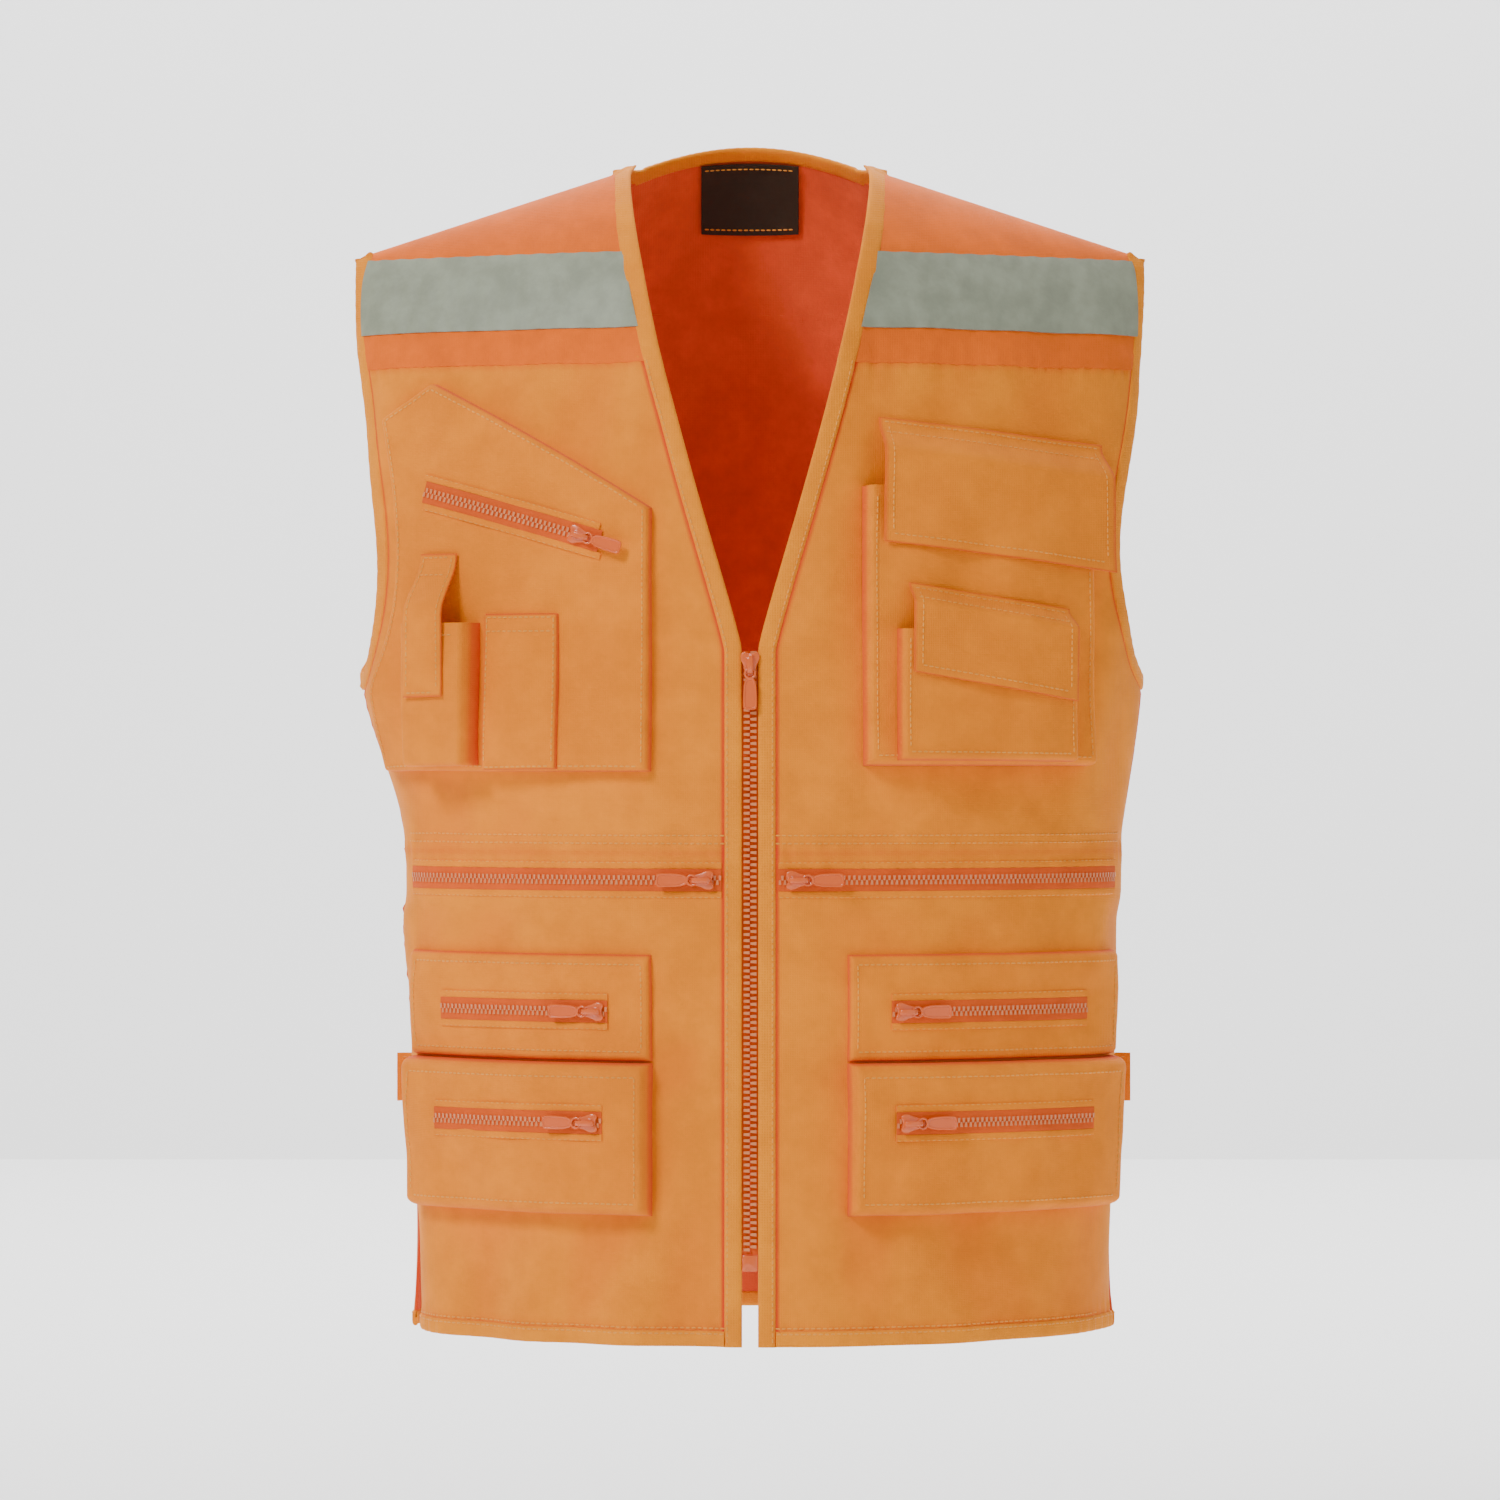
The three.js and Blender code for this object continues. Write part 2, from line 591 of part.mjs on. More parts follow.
for (const [name, side] of SIDES) {
  const upper = bodyHeights(YOKE_Z - GAP);
  upper[upper.length - 1] = WAIST_Z + GAP;
  const lower = spread(WAIST_Z - GAP, HEM_Z + HEM_WIDTH + GAP, 5);
  piece(`front_upper_${name}`, panel(10, upper, innerTurn(side), outerTurn(side), -CLOTH, 0), "cloth");
  piece(`front_lower_${name}`, panel(12, lower, innerTurn(side), outerTurn(side), -CLOTH, 0), "cloth");
  piece(
    `hem_binding_${name}`,
    panel(12, hemHeights, innerTurn(side), outerTurn(side), BINDING_IN, BINDING_SIDE), "binding",
  );

  const edgeHeights = [...spread(YOKE_Z - GAP, NECK_Z, 8), ...spread(NECK_Z, HEM_Z, 6).slice(1)];
  const edge = edgeHeights.map((z) => [neckEdge(z), neckSeam(z)].map((x) => [turnAt(side * x, z), z]));
  piece(`front_edge_binding_${name}`, stripThrough(edge, BINDING_IN, BINDING_SIDE, false), "binding");

  const chain = [NECK_Z - GAP, ZIP_END_Z].map((z) => {
    return [MAIN_CHAIN_GAP / 2, FRONT_EDGE_X - GAP].map((x) => [turnAt(side * x, z), z]);
  });
  piece(`main_zip_${name}`, stripThrough(chain, BINDING_IN + GAP, GAP, false), "zip");

  const tabX = shift(tabCentreZ) + side * (halfWidth(tabCentreZ) + PAD_GAP);
  const tab = block(
    [Math.min(tabX, tabX + side * TAB_REACH), -TAB_THICKNESS / 2, tabCentreZ - TAB_HEIGHT / 2],
    [Math.max(tabX, tabX + side * TAB_REACH), TAB_THICKNESS / 2, tabCentreZ + TAB_HEIGHT / 2],
  );
  piece(`side_tab_${name}`, tab, "cloth");
}

const BOX_FRONT_Y = -HALF_DEPTH - BINDING_SIDE;
const zipBox = block(
  [GAP - FRONT_EDGE_X, BOX_FRONT_Y, ZIP_END_Z - GAP - ZIP_BOX_SIZE],
  [FRONT_EDGE_X - GAP, -HALF_DEPTH + CLOTH, ZIP_END_Z - GAP],
);
piece("zip_box", zipBox, "zip");

// ---- Pads, pockets and flaps ----

// a place across, measured in from the side of the vest
const fromSide = (side, inset) => (z) => shift(z) + side * (halfWidth(z) - inset);
const place = (x) => () => x;

// A quilted or folded layer over a front. near and far give its edges across at a height, top and bottom
// its edges in height at a share across, and standing its height off the surface at a share down.
function layer({ near, far, top, bottom, low, high, columns = 8, rows = 5, standing = () => 0 }) {
  return sheet(columns, rows, (u, v, isOuter) => {
    const z = lerp(top(u), bottom(u), v);
    const length = lerp(arcLength(turnAt(near(z), z), z), arcLength(turnAt(far(z), z), z), u);
    return standOff(turnAlong(length, z), z, (isOuter ? high : low) + standing(v));
  });
}

// a pocket that is open at its top: a layer with its inside cut out
function openPocket(shape, floor) {
  const inset = POCKET_WALL;
  const inside = {
    ...shape,
    near: (z) => shape.near(z) + Math.sign(shape.far(z) - shape.near(z)) * inset,
    far: (z) => shape.far(z) - Math.sign(shape.far(z) - shape.near(z)) * inset,
    top: (u) => shape.top(u) + inset,
    bottom: (u) => shape.bottom(u) + floor,
    low: shape.low + inset,
    high: shape.high - inset,
  };
  return cut(layer(shape), layer(inside));
}

// flat zipped pockets and bellows pockets below the waist, from near the placket to near the side
const POCKET_NEAR_X = 55;
const POCKET_SIDE_INSET = 5;
const lowerPockets = [
  { kind: "flat", top: FLAT_TOP_Z, bottom: FLAT_BOTTOM_Z, pad: FLAT_PAD, zipDrop: 32 },
  { kind: "bellows", top: BELLOWS_TOP_Z, bottom: BELLOWS_BOTTOM_Z, pad: BELLOWS_PAD, zipDrop: 33 },
];

const sliders = [];
const ZIP_NEAR_X = 78;
const WAIST_SLIDER_X = 27;
const POCKET_SLIDER_X = 86;
const ZIP_SIDE_INSET = 26;

// a pocket's zip: its two tapes and chain as one band, and the place of its slider
function pocketZip(name, side, zips) {
  const base = zips.pad + PAD_GAP;
  const half = POCKET_ZIP_WIDTH / 2;
  const centre = zips.centre;
  const band = layer({
    near: zips.near, far: zips.far, columns: 12, rows: 1,
    top: (u) => centre(u) + half, bottom: (u) => centre(u) - half,
    low: base, high: base + ZIP_THICKNESS,
  });
  piece(`${name}_${side < 0 ? "right" : "left"}`, band, "zip");
}

for (const [name, side] of SIDES) {
  const waistNear = place(side * (neckSeam(WAIST_ZIP_Z) + EDGE_GAP));
  pocketZip("waist_zip", side, {
    near: waistNear, far: fromSide(side, POCKET_SIDE_INSET), centre: place(WAIST_ZIP_Z), pad: 0,
  });
  sliders.push({ name: `waist_${name}`, side, x: side * WAIST_SLIDER_X, z: WAIST_ZIP_Z, pad: 0 });
  for (const pocket of lowerPockets) {
    const padTop = PAD_GAP + pocket.pad;
    const pad = layer({
      near: place(side * POCKET_NEAR_X), far: fromSide(side, POCKET_SIDE_INSET),
      top: place(pocket.top), bottom: place(pocket.bottom), low: PAD_GAP, high: padTop, columns: 10, rows: 3,
    });
    piece(`${pocket.kind}_pocket_${name}`, pad, "cloth");
    const zipZ = pocket.top - pocket.zipDrop;
    pocketZip(`${pocket.kind}_zip`, side, {
      near: place(side * ZIP_NEAR_X), far: fromSide(side, ZIP_SIDE_INSET), centre: place(zipZ), pad: padTop,
    });
    sliders.push({ name: `${pocket.kind}_${name}`, side, x: side * POCKET_SLIDER_X, z: zipZ, pad: padTop });
  }
}

// the wearer's right chest: a slanted zipped pocket with a phone pocket, its strap and a pen pocket on it
const CHEST_BOTTOM_Z = NECK_Z - CHEST_BELOW_NECK;
const BOTTOM_STAGGER = 1;
const CHEST_PEAK = 0.2;
const CHEST_SIDE_TOP_Z = YOKE_Z - 31;
const CHEST_PEAK_Z = YOKE_Z - 11;
const CHEST_NEAR_TOP_Z = YOKE_Z - 84;
function chestTop(u) {
  if (u < CHEST_PEAK) return lerp(CHEST_SIDE_TOP_Z, CHEST_PEAK_Z, u / CHEST_PEAK);
  return lerp(CHEST_PEAK_Z, CHEST_NEAR_TOP_Z, (u - CHEST_PEAK) / (1 - CHEST_PEAK));
}
const CHEST_SIDE_INSET = 9;
const CHEST_NEAR_X = 55;
const chestFace = CHEST_GAP + CHEST_PAD;
const chestPocket = layer({
  near: (z) => -(armholeSeam(z) - CHEST_SIDE_INSET), far: place(-CHEST_NEAR_X),
  top: chestTop, bottom: place(CHEST_BOTTOM_Z),
  low: CHEST_GAP, high: chestFace, columns: 10, rows: 7,
});
piece("chest_pocket_right", chestPocket, "cloth");

const CHEST_ZIP_SLOPE = 29 / 97;
const PHONE_FAR_X = PHONE_SIDE_INSET - CHEST_HALF_WIDTH;
const CHEST_ZIP_FAR_X = PHONE_FAR_X + CHEST_ZIP_INSET;
const CHEST_ZIP_NEAR_X = -82;
const CHEST_ZIP_TOP_Z = YOKE_Z - 74;
const chestZipZ = (x) => CHEST_ZIP_TOP_Z - CHEST_ZIP_SLOPE * (x - CHEST_ZIP_FAR_X);
pocketZip("chest_zip", -1, {
  near: place(CHEST_ZIP_FAR_X), far: place(CHEST_ZIP_NEAR_X), pad: chestFace,
  centre: (u) => chestZipZ(lerp(CHEST_ZIP_FAR_X, CHEST_ZIP_NEAR_X, u)),
});
const CHEST_SLIDER_X = CHEST_ZIP_NEAR_X - 10;
sliders.push({
  name: "chest", side: -1, x: CHEST_SLIDER_X, z: chestZipZ(CHEST_SLIDER_X), pad: chestFace,
  slope: CHEST_ZIP_SLOPE, pullWay: 1,
});

const PHONE_NEAR_X = PHONE_FAR_X + PHONE_WIDTH;
const PHONE_TOP_Z = NECK_Z + 16;
const PEN_GAP = 3;
const PEN_NEAR_X = PHONE_NEAR_X + PEN_GAP + PEN_WIDTH;
const PEN_ABOVE_PHONE = 5;
const STRAP_FAR_X = PHONE_FAR_X + STRAP_INSET;
const STRAP_NEAR_X = STRAP_FAR_X + STRAP_WIDTH;
const STRAP_ABOVE = 39;
const STRAP_BELOW = 40;
const phoneLow = chestFace + STACK_GAP;
const phoneShape = {
  near: place(PHONE_FAR_X), far: place(PHONE_NEAR_X), top: place(PHONE_TOP_Z),
  bottom: place(CHEST_BOTTOM_Z + 5 * BOTTOM_STAGGER),
  low: phoneLow, high: phoneLow + PHONE_DEPTH, columns: 4, rows: 2,
};
piece("phone_pocket", openPocket(phoneShape, POCKET_WALL), "cloth");
const penPocket = layer({
  near: place(PHONE_NEAR_X + PEN_GAP), far: place(PEN_NEAR_X), top: place(PHONE_TOP_Z + PEN_ABOVE_PHONE),
  bottom: place(CHEST_BOTTOM_Z + 2 * BOTTOM_STAGGER),
  low: phoneLow, high: phoneLow + PEN_PAD, columns: 4, rows: 2,
});
piece("pen_pocket", penPocket, "cloth");

// how far down a flap or strap the cloth has climbed over the pocket under it
const climb = (start, end, height) => (v) => height * smoothstep(v, start, end);

const strapShape = {
  near: place(STRAP_FAR_X), far: place(STRAP_NEAR_X),
  top: place(PHONE_TOP_Z + STRAP_ABOVE), bottom: place(PHONE_TOP_Z - STRAP_BELOW),
  low: phoneLow, high: phoneLow + STRAP_THICKNESS, columns: 2, rows: 10,
  standing: climb(0.02, 0.44, PHONE_DEPTH + FLAP_GAP),
};
piece("phone_strap", layer(strapShape), "cloth");

// the wearer's left chest: a large bellows pocket with a flap, and a small one on it with its own flap
const BIG_NEAR_X = 63;
const BIG_FAR_X = CHEST_HALF_WIDTH - BIG_SIDE_INSET;
const BIG_TOP_Z = YOKE_Z - 72;
const SMALL_NEAR_X = 79;
const SMALL_FAR_X = BIG_FAR_X - SMALL_SIDE_INSET;
const SMALL_TOP_Z = NECK_Z + 12;
const bigShape = {
  near: place(BIG_NEAR_X), far: (z) => Math.min(BIG_FAR_X, armholeSeam(z) - CHEST_SIDE_INSET),
  top: place(BIG_TOP_Z), bottom: place(CHEST_BOTTOM_Z + 3 * BOTTOM_STAGGER),
  low: CHEST_GAP, high: CHEST_GAP + BIG_POCKET_DEPTH, columns: 9, rows: 6,
};
piece("chest_pocket_left", openPocket(bigShape, POCKET_WALL), "cloth");
const smallLow = bigShape.high + STACK_GAP;
const smallShape = {
  near: place(SMALL_NEAR_X), far: place(SMALL_FAR_X), top: place(SMALL_TOP_Z),
  bottom: place(CHEST_BOTTOM_Z + 6 * BOTTOM_STAGGER),
  low: smallLow, high: smallLow + SMALL_POCKET_DEPTH, columns: 6, rows: 3,
};
piece("small_pocket", openPocket(smallShape, POCKET_WALL), "cloth");
const BIG_FLAP_NEAR_X = BIG_NEAR_X + 9;
const BIG_FLAP_FAR_X = BIG_FAR_X + 8;
const FLAP_SIDE_INSET = 6;
const bigFlapShape = {
  near: place(BIG_FLAP_NEAR_X), far: (z) => Math.min(BIG_FLAP_FAR_X, armholeSeam(z) - FLAP_SIDE_INSET),
  low: CHEST_GAP, high: CHEST_GAP + FLAP_THICKNESS,
  top: (u) => YOKE_Z - lerp(33, 46, u), bottom: (u) => YOKE_Z - lerp(103, 119, u),
  columns: 9, rows: 10, standing: climb(0, 0.3, BIG_POCKET_DEPTH + FLAP_GAP),
};
piece("chest_flap", layer(bigFlapShape), "cloth");
const smallFlapShape = {
  near: place(SMALL_NEAR_X + 6), far: place(SMALL_FAR_X - 3), low: smallLow, high: smallLow + FLAP_THICKNESS,
  top: (u) => NECK_Z + lerp(38, 24, u), bottom: (u) => NECK_Z - lerp(12, 28, u),
  columns: 6, rows: 8, standing: climb(0, 0.22, SMALL_POCKET_DEPTH + FLAP_GAP),
};
piece("small_flap", layer(smallFlapShape), "cloth");

// ---- Sliders and pulls ----

// A slider lies on its chain: x along the chain towards the pull, z out of the cloth. Its bridge is open
// underneath, and the pull's end bar turns there.
const BAR_X = BRIDGE_LENGTH / 2 - BRIDGE_FOOT - PULL_BAR_TO_FOOT;
const BAR_Z = SLIDER_THICKNESS + BRIDGE_ROOM / 2;

function sliderShape() {
  const topZ = SLIDER_THICKNESS + BRIDGE_ROOM + BRIDGE_THICKNESS;
  const plate = block(
    [-SLIDER_LENGTH / 2, -SLIDER_WIDTH / 2, 0], [SLIDER_LENGTH / 2, SLIDER_WIDTH / 2, SLIDER_THICKNESS],
  );
  const arch = block(
    [-BRIDGE_LENGTH / 2, -BRIDGE_WIDTH / 2, SLIDER_THICKNESS / 2], [BRIDGE_LENGTH / 2, BRIDGE_WIDTH / 2, topZ],
  );
  const room = block(
    [BRIDGE_FOOT - BRIDGE_LENGTH / 2, -BRIDGE_WIDTH, SLIDER_THICKNESS],
    [BRIDGE_LENGTH / 2 - BRIDGE_FOOT, BRIDGE_WIDTH, topZ - BRIDGE_THICKNESS],
  );
  return join(plate, cut(arch, room));
}

// the pull, about its end bar: a plate with an eye that the bridge passes through
function pullShape() {
  const plate = block(
    [-PULL_BAR / 2, -PULL_WIDTH / 2, -PULL_THICKNESS / 2],
    [PULL_LENGTH - PULL_BAR / 2, PULL_WIDTH / 2, PULL_THICKNESS / 2],
  );
  const eyeHalf = BRIDGE_WIDTH / 2 + PULL_SIDE_CLEARANCE;
  const eyeEnd = PULL_BAR / 2 + PULL_EYE_LENGTH;
  const eye = block([PULL_BAR / 2, -eyeHalf, -PULL_THICKNESS], [eyeEnd, eyeHalf, PULL_THICKNESS]);
  return cut(plate, eye);
}

function frameAt(origin, along, out) {
  const across = out.clone().cross(along);
  return new THREE.Matrix4().makeBasis(along, across, out).setPosition(origin);
}

function addSlider({ name, x, z, side, pad, slope = 0, pullWay = side }) {
  const turn = turnAt(x, z);
  const origin = standOff(turn, z, pad + PAD_GAP + ZIP_THICKNESS + SLIDER_LIFT);
  const out = outward(turn, z);
  const flat = new THREE.Vector3(Math.cos(turn), Math.sin(turn), 0).multiplyScalar(pullWay);
  const along = flat.add(new THREE.Vector3(0, 0, -pullWay * slope)).projectOnPlane(out).normalize();
  addFittings(name, frameAt(origin, along, out));
}

function addFittings(name, frame) {
  piece(`${name}_slider`, sliderShape(), "slider").applyMatrix4(frame);
  piece(`${name}_pull`, pullShape().translate(BAR_X, 0, BAR_Z), "slider").applyMatrix4(frame);
}

for (const slider of sliders) addSlider(slider);

const mainOrigin = new THREE.Vector3(0, -HALF_DEPTH - BINDING_SIDE - SLIDER_LIFT, NECK_Z - SLIDER_LENGTH / 2 - 1);
const mainFrame = frameAt(mainOrigin, new THREE.Vector3(0, 0, -1), new THREE.Vector3(0, -1, 0));
addFittings("main", mainFrame);

export default vest;
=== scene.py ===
# %% [markdown]
# # A blaze orange hunting vest
# The CAD frame gives every panel, pocket, zip and slider its place and its body. This script dresses that
# frame: cloth with drape and puckered seams, folded bindings, stitch rows, padded pockets, toothed zips
# and painted sliders. It could start from copies of the CAD solids, but their facets are too coarse for
# cloth, so the same smooth surface is worked out again here and every piece is laid on it.

# %% Load the frame
import math
import bpy
import mathutils
import numpy as np
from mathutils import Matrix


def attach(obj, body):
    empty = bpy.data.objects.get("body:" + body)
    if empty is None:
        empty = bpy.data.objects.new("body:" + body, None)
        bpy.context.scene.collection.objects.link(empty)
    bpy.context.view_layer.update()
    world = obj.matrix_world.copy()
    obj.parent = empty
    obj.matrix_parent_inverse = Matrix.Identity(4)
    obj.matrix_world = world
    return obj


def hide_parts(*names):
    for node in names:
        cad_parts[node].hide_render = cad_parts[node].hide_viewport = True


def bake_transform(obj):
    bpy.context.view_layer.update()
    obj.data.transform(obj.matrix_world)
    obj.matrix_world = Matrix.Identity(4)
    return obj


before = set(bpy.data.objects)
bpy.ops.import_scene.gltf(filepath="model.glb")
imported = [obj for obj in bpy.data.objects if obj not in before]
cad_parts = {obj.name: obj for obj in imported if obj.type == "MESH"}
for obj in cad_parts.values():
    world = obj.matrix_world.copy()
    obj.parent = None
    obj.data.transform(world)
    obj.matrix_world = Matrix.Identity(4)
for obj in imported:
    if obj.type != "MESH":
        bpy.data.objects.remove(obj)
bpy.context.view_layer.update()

MM = 0.001
QUARTER = math.pi / 2
SIDES = (("right", -1), ("left", 1))

# %% [markdown]
# ## The surface the cloth follows
# In plan the vest is an oval of four arcs that narrows from shoulder to hem. Over the shoulders it closes
# like a dome. One function gives a point from the way it faces (turn) and its height, so panels, pockets
# and stitches laid on it line up by themselves. Everything is in millimetres until a mesh is made.

# %% Driving sizes, as in the frame
CHEST_HALF_WIDTH = 224
HALF_DEPTH = 122
SIDE_RADIUS = 70
SHOULDER_FLARE = 8
WAIST_TAPER = 16
HEM_TAPER = 24
SKIRT_SHIFT = 8
NECK_HALF_WIDTH = 70
NECK_POINT_Z = 5
NECK_CROWN = 40
BACK_NECK_RISE = 20
FRONT_DOME = 220
BACK_DOME = 150
SHOULDER_SLOPE = 51 / 157
ARMHOLE_TOP_Z = -46
ARMHOLE_Z = -287
BINDING = 10
FRONT_EDGE_X = 4.5
YOKE_Z = -112
BACK_YOKE_Z = -72
NECK_Z = YOKE_Z - 164
WAIST_Z = YOKE_Z - 278
WAIST_ZIP_Z = WAIST_Z - 15
FLAT_TOP_Z = WAIST_Z - 57
FLAT_BOTTOM_Z = FLAT_TOP_Z - 60
BELLOWS_TOP_Z = FLAT_BOTTOM_Z - 1
BELLOWS_BOTTOM_Z = BELLOWS_TOP_Z - 86
HEM_Z = BELLOWS_BOTTOM_Z - 73
ZIP_END_Z = HEM_Z + 52
SEAM_BOTTOM_Z = ARMHOLE_Z - BINDING
CHEST_BOTTOM_Z = NECK_Z - 68


# %% The surface
def smooth(value, low, high):
    share = np.clip((value - low) / (high - low), 0, 1)
    return share * share * (3 - 2 * share)


def lerp(a, b, share):
    return a + (b - a) * share


def half_width(z):
    flare = SHOULDER_FLARE * smooth(z, ARMHOLE_Z, ARMHOLE_TOP_Z)
    waist = WAIST_TAPER * (1 - smooth(z, WAIST_Z, ARMHOLE_Z))
    hem = (HEM_TAPER - WAIST_TAPER) * (1 - smooth(z, HEM_Z, WAIST_Z))
    return CHEST_HALF_WIDTH + flare - waist - hem


def shift(z):
    return SKIRT_SHIFT * (1 - smooth(z, WAIST_Z, ARMHOLE_Z))


def section(z):
    reach = half_width(z) - SIDE_RADIUS
    wide = (reach ** 2 + HALF_DEPTH ** 2 - SIDE_RADIUS ** 2) / (2 * (HALF_DEPTH - SIDE_RADIUS))
    centre = wide - HALF_DEPTH
    return reach, wide, centre, np.arctan2(reach, centre)


def ridge(x):
    across = np.abs(x)
    slope = NECK_POINT_Z - SHOULDER_SLOPE * (across - NECK_HALF_WIDTH)
    crown = NECK_POINT_Z + NECK_CROWN * (1 - (across / NECK_HALF_WIDTH) ** 2)
    return np.where(across >= NECK_HALF_WIDTH, slope, crown)


def surface(turn, z):
    reach, wide, centre, joint = section(z)
    way = np.abs(turn)
    facing = np.where(np.cos(way) < 0, -1.0, 1.0)
    folded = np.where(facing > 0, way, math.pi - way)
    broad = np.abs(folded) <= joint
    across = np.where(broad, wide * np.sin(folded), np.sign(folded) * reach + SIDE_RADIUS * np.sin(folded))
    depth = np.where(broad, wide * np.cos(folded) - centre, SIDE_RADIUS * np.cos(folded))
    drop = np.clip((ridge(across) - z) / np.where(facing > 0, FRONT_DOME, BACK_DOME), 0, 1)
    bulge = np.sqrt(1 - (1 - drop) ** 2)
    x = shift(z) + np.where(turn < 0, -1, 1) * across
    return np.stack([x, -facing * depth * bulge, z + 0 * x], -1)


def turn_at(x, z, back=False):
    reach, wide, _, joint = section(z)
    across = np.abs(x - shift(z))
    sine = np.where(across <= wide * np.sin(joint), across / wide, (across - reach) / SIDE_RADIUS)
    folded = np.arcsin(np.clip(sine, -1, 1))
    return np.where(x - shift(z) < 0, -1, 1) * (math.pi - folded if back else folded)


def half_loop(z):
    _, wide, _, joint = section(z)
    return 2 * wide * joint + SIDE_RADIUS * (math.pi - 2 * joint)


def arc_length(turn, z):
    _, wide, _, joint = section(z)
    way = np.abs(turn)
    near = np.where(way > math.pi, 2 * math.pi - way, way)
    side = np.clip(near - joint, 0, math.pi - 2 * joint)
    length = wide * (near - side) + SIDE_RADIUS * side
    return np.sign(turn) * np.where(way > math.pi, 2 * half_loop(z) - length, length)


def turn_along(length, z):
    _, wide, _, joint = section(z)
    way = np.abs(length)
    loop = half_loop(z)
    near = np.where(way > loop, 2 * loop - way, way)
    to_joint = wide * joint
    to_back = to_joint + SIDE_RADIUS * (math.pi - 2 * joint)
    turned = np.where(near <= to_joint, near / wide, joint + (near - to_joint) / SIDE_RADIUS)
    turned = np.where(near > to_back, math.pi - joint + (near - to_back) / wide, turned)
    return np.sign(length) * np.where(way > loop, 2 * math.pi - turned, turned)


STEP = 1e-3


def outward(turn, z):
    along = surface(turn + STEP, z) - surface(turn - STEP, z)
    up = surface(turn, z + STEP) - surface(turn, z - STEP)
    normal = np.cross(along, up)
    return normal / np.maximum(np.linalg.norm(normal, axis=-1, keepdims=True), 1e-12)


# %% [markdown]
# ## Drape and puckers
# Real cloth isn't a clean oval. It hangs in soft vertical folds, and a stitched seam draws it into small
# ripples. A simulation could find such folds, but the fronts carry pockets and zips that must stay in
# line with their joints, so the folds are a sum of smooth waves, kept low where a slider runs.

# %% Relief
ZIP_LINES = (WAIST_ZIP_Z, FLAT_TOP_Z - 32, BELLOWS_TOP_Z - 33)
SEAM_LINES = (YOKE_Z, WAIST_Z, HEM_Z + 9)
BACK_SEAM_LINES = (BACK_YOKE_Z, HEM_Z + 9)


def noise(a, b, seed):
    """A smooth wander between -1 and 1, from a few sines whose phases come from a seed."""
    draws = np.random.default_rng(seed)
    total = 0
    for _ in range(5):
        pitch = draws.uniform(0.6, 1.9)
        way = draws.uniform(0, 2 * math.pi)
        phase = draws.uniform(0, 2 * math.pi)
        total = total + np.sin(pitch * (a * math.cos(way) + b * math.sin(way)) + phase)
    return total / 3.2


def relief(turn, z):
    """How far the cloth stands off its plain surface, in millimetres."""
    length = arc_length(turn, z)
    back = np.cos(turn) < 0
    quiet = np.ones_like(z + 0 * turn)
    for line in ZIP_LINES:
        quiet = quiet * np.where(back, 1, smooth(np.abs(z - line), 8, 26))
    quiet = quiet * np.where(back, 1, smooth(np.abs(length), 12, 46))
    quiet = quiet * smooth(ARMHOLE_TOP_Z - z, 0, 90)
    folds = 2.2 * noise(length / 22, z / 60, 3) + 1.2 * noise(length / 9, z / 22, 8)
    low = smooth(WAIST_Z - z, 140, 250) * 1.5 * np.sin(length / 13 + 1.6 * noise(length / 50, z / 60, 5))
    total = quiet * (folds + low) * np.where(back, 1.5, 1.15)
    for line in SEAM_LINES:
        near = np.exp(-(((z - line) / 7) ** 2)) * np.where(back, 0, 1)
        total = total + near * 0.6 * np.sin(length / 1.5 + 2.5 * noise(length / 14, z / 9, 11))
    for line in BACK_SEAM_LINES:
        near = np.exp(-(((z - line) / 7) ** 2)) * np.where(back, 1, 0)
        total = total + near * 0.5 * np.sin(length / 1.5 + 2.5 * noise(length / 14, z / 9, 12))
    return total


def lay(turn, z, height, draped=1.0):
    """Points on the cloth, a height above it."""
    turn, z = np.broadcast_arrays(np.asarray(turn, float), np.asarray(z, float))
    rise = np.asarray(height, float) + draped * relief(turn, z)
    return surface(turn, z) + outward(turn, z) * rise[..., None]


# %% [markdown]
# ## The pattern's edges
# The neck's V, the armhole and the shoulder line bound the panels. They are the same curves as the
# frame's, so a visual piece stays inside its CAD solid's outline.

# %% Edges
def neck_edge(z):
    fall = np.clip((NECK_POINT_Z - z) / (NECK_POINT_Z - NECK_Z), 0, 1)
    return FRONT_EDGE_X + (NECK_HALF_WIDTH - FRONT_EDGE_X) * (1 - fall ** 1.45) ** 1.12


def armhole_inset(fall):
    return 3 * (1 - fall) + 13 * np.sin(math.pi * fall ** 1.9)


def armhole_edge(z):
    fall = np.clip((ARMHOLE_TOP_Z - z) / (ARMHOLE_TOP_Z - ARMHOLE_Z), 0, 1)
    return half_width(z) - armhole_inset(fall)


def armhole_seam(z, width=BINDING):
    fall = np.clip((ARMHOLE_TOP_Z - z) / (ARMHOLE_TOP_Z - SEAM_BOTTOM_Z), 0, 1)
    edge = half_width(z) - armhole_inset(fall)
    turn = np.abs(turn_at(edge, z))
    drop = np.clip((ridge(edge) - z) / FRONT_DOME, 0, 1)
    bulge = np.sqrt(1 - (1 - drop) ** 2)
    flat = np.maximum(np.cos(turn), 0.12)
    return edge - width * (1 - fall ** 4) * flat / np.hypot(flat, bulge * np.sin(turn))


def side_turn(z):
    """Where a front meets the armhole binding, or the side seam below it."""
    seam = turn_at(armhole_seam(z) + shift(z), z) + 1.0 / SIDE_RADIUS
    return np.where(z < SEAM_BOTTOM_Z, QUARTER, np.minimum(seam, QUARTER))


def dome_height(x, over, dome):
    return ridge(x) - dome * (1 - np.cos(over))


def over_at(x, z, dome):
    return np.arccos(np.clip(1 - (ridge(x) - z) / dome, -1, 1))


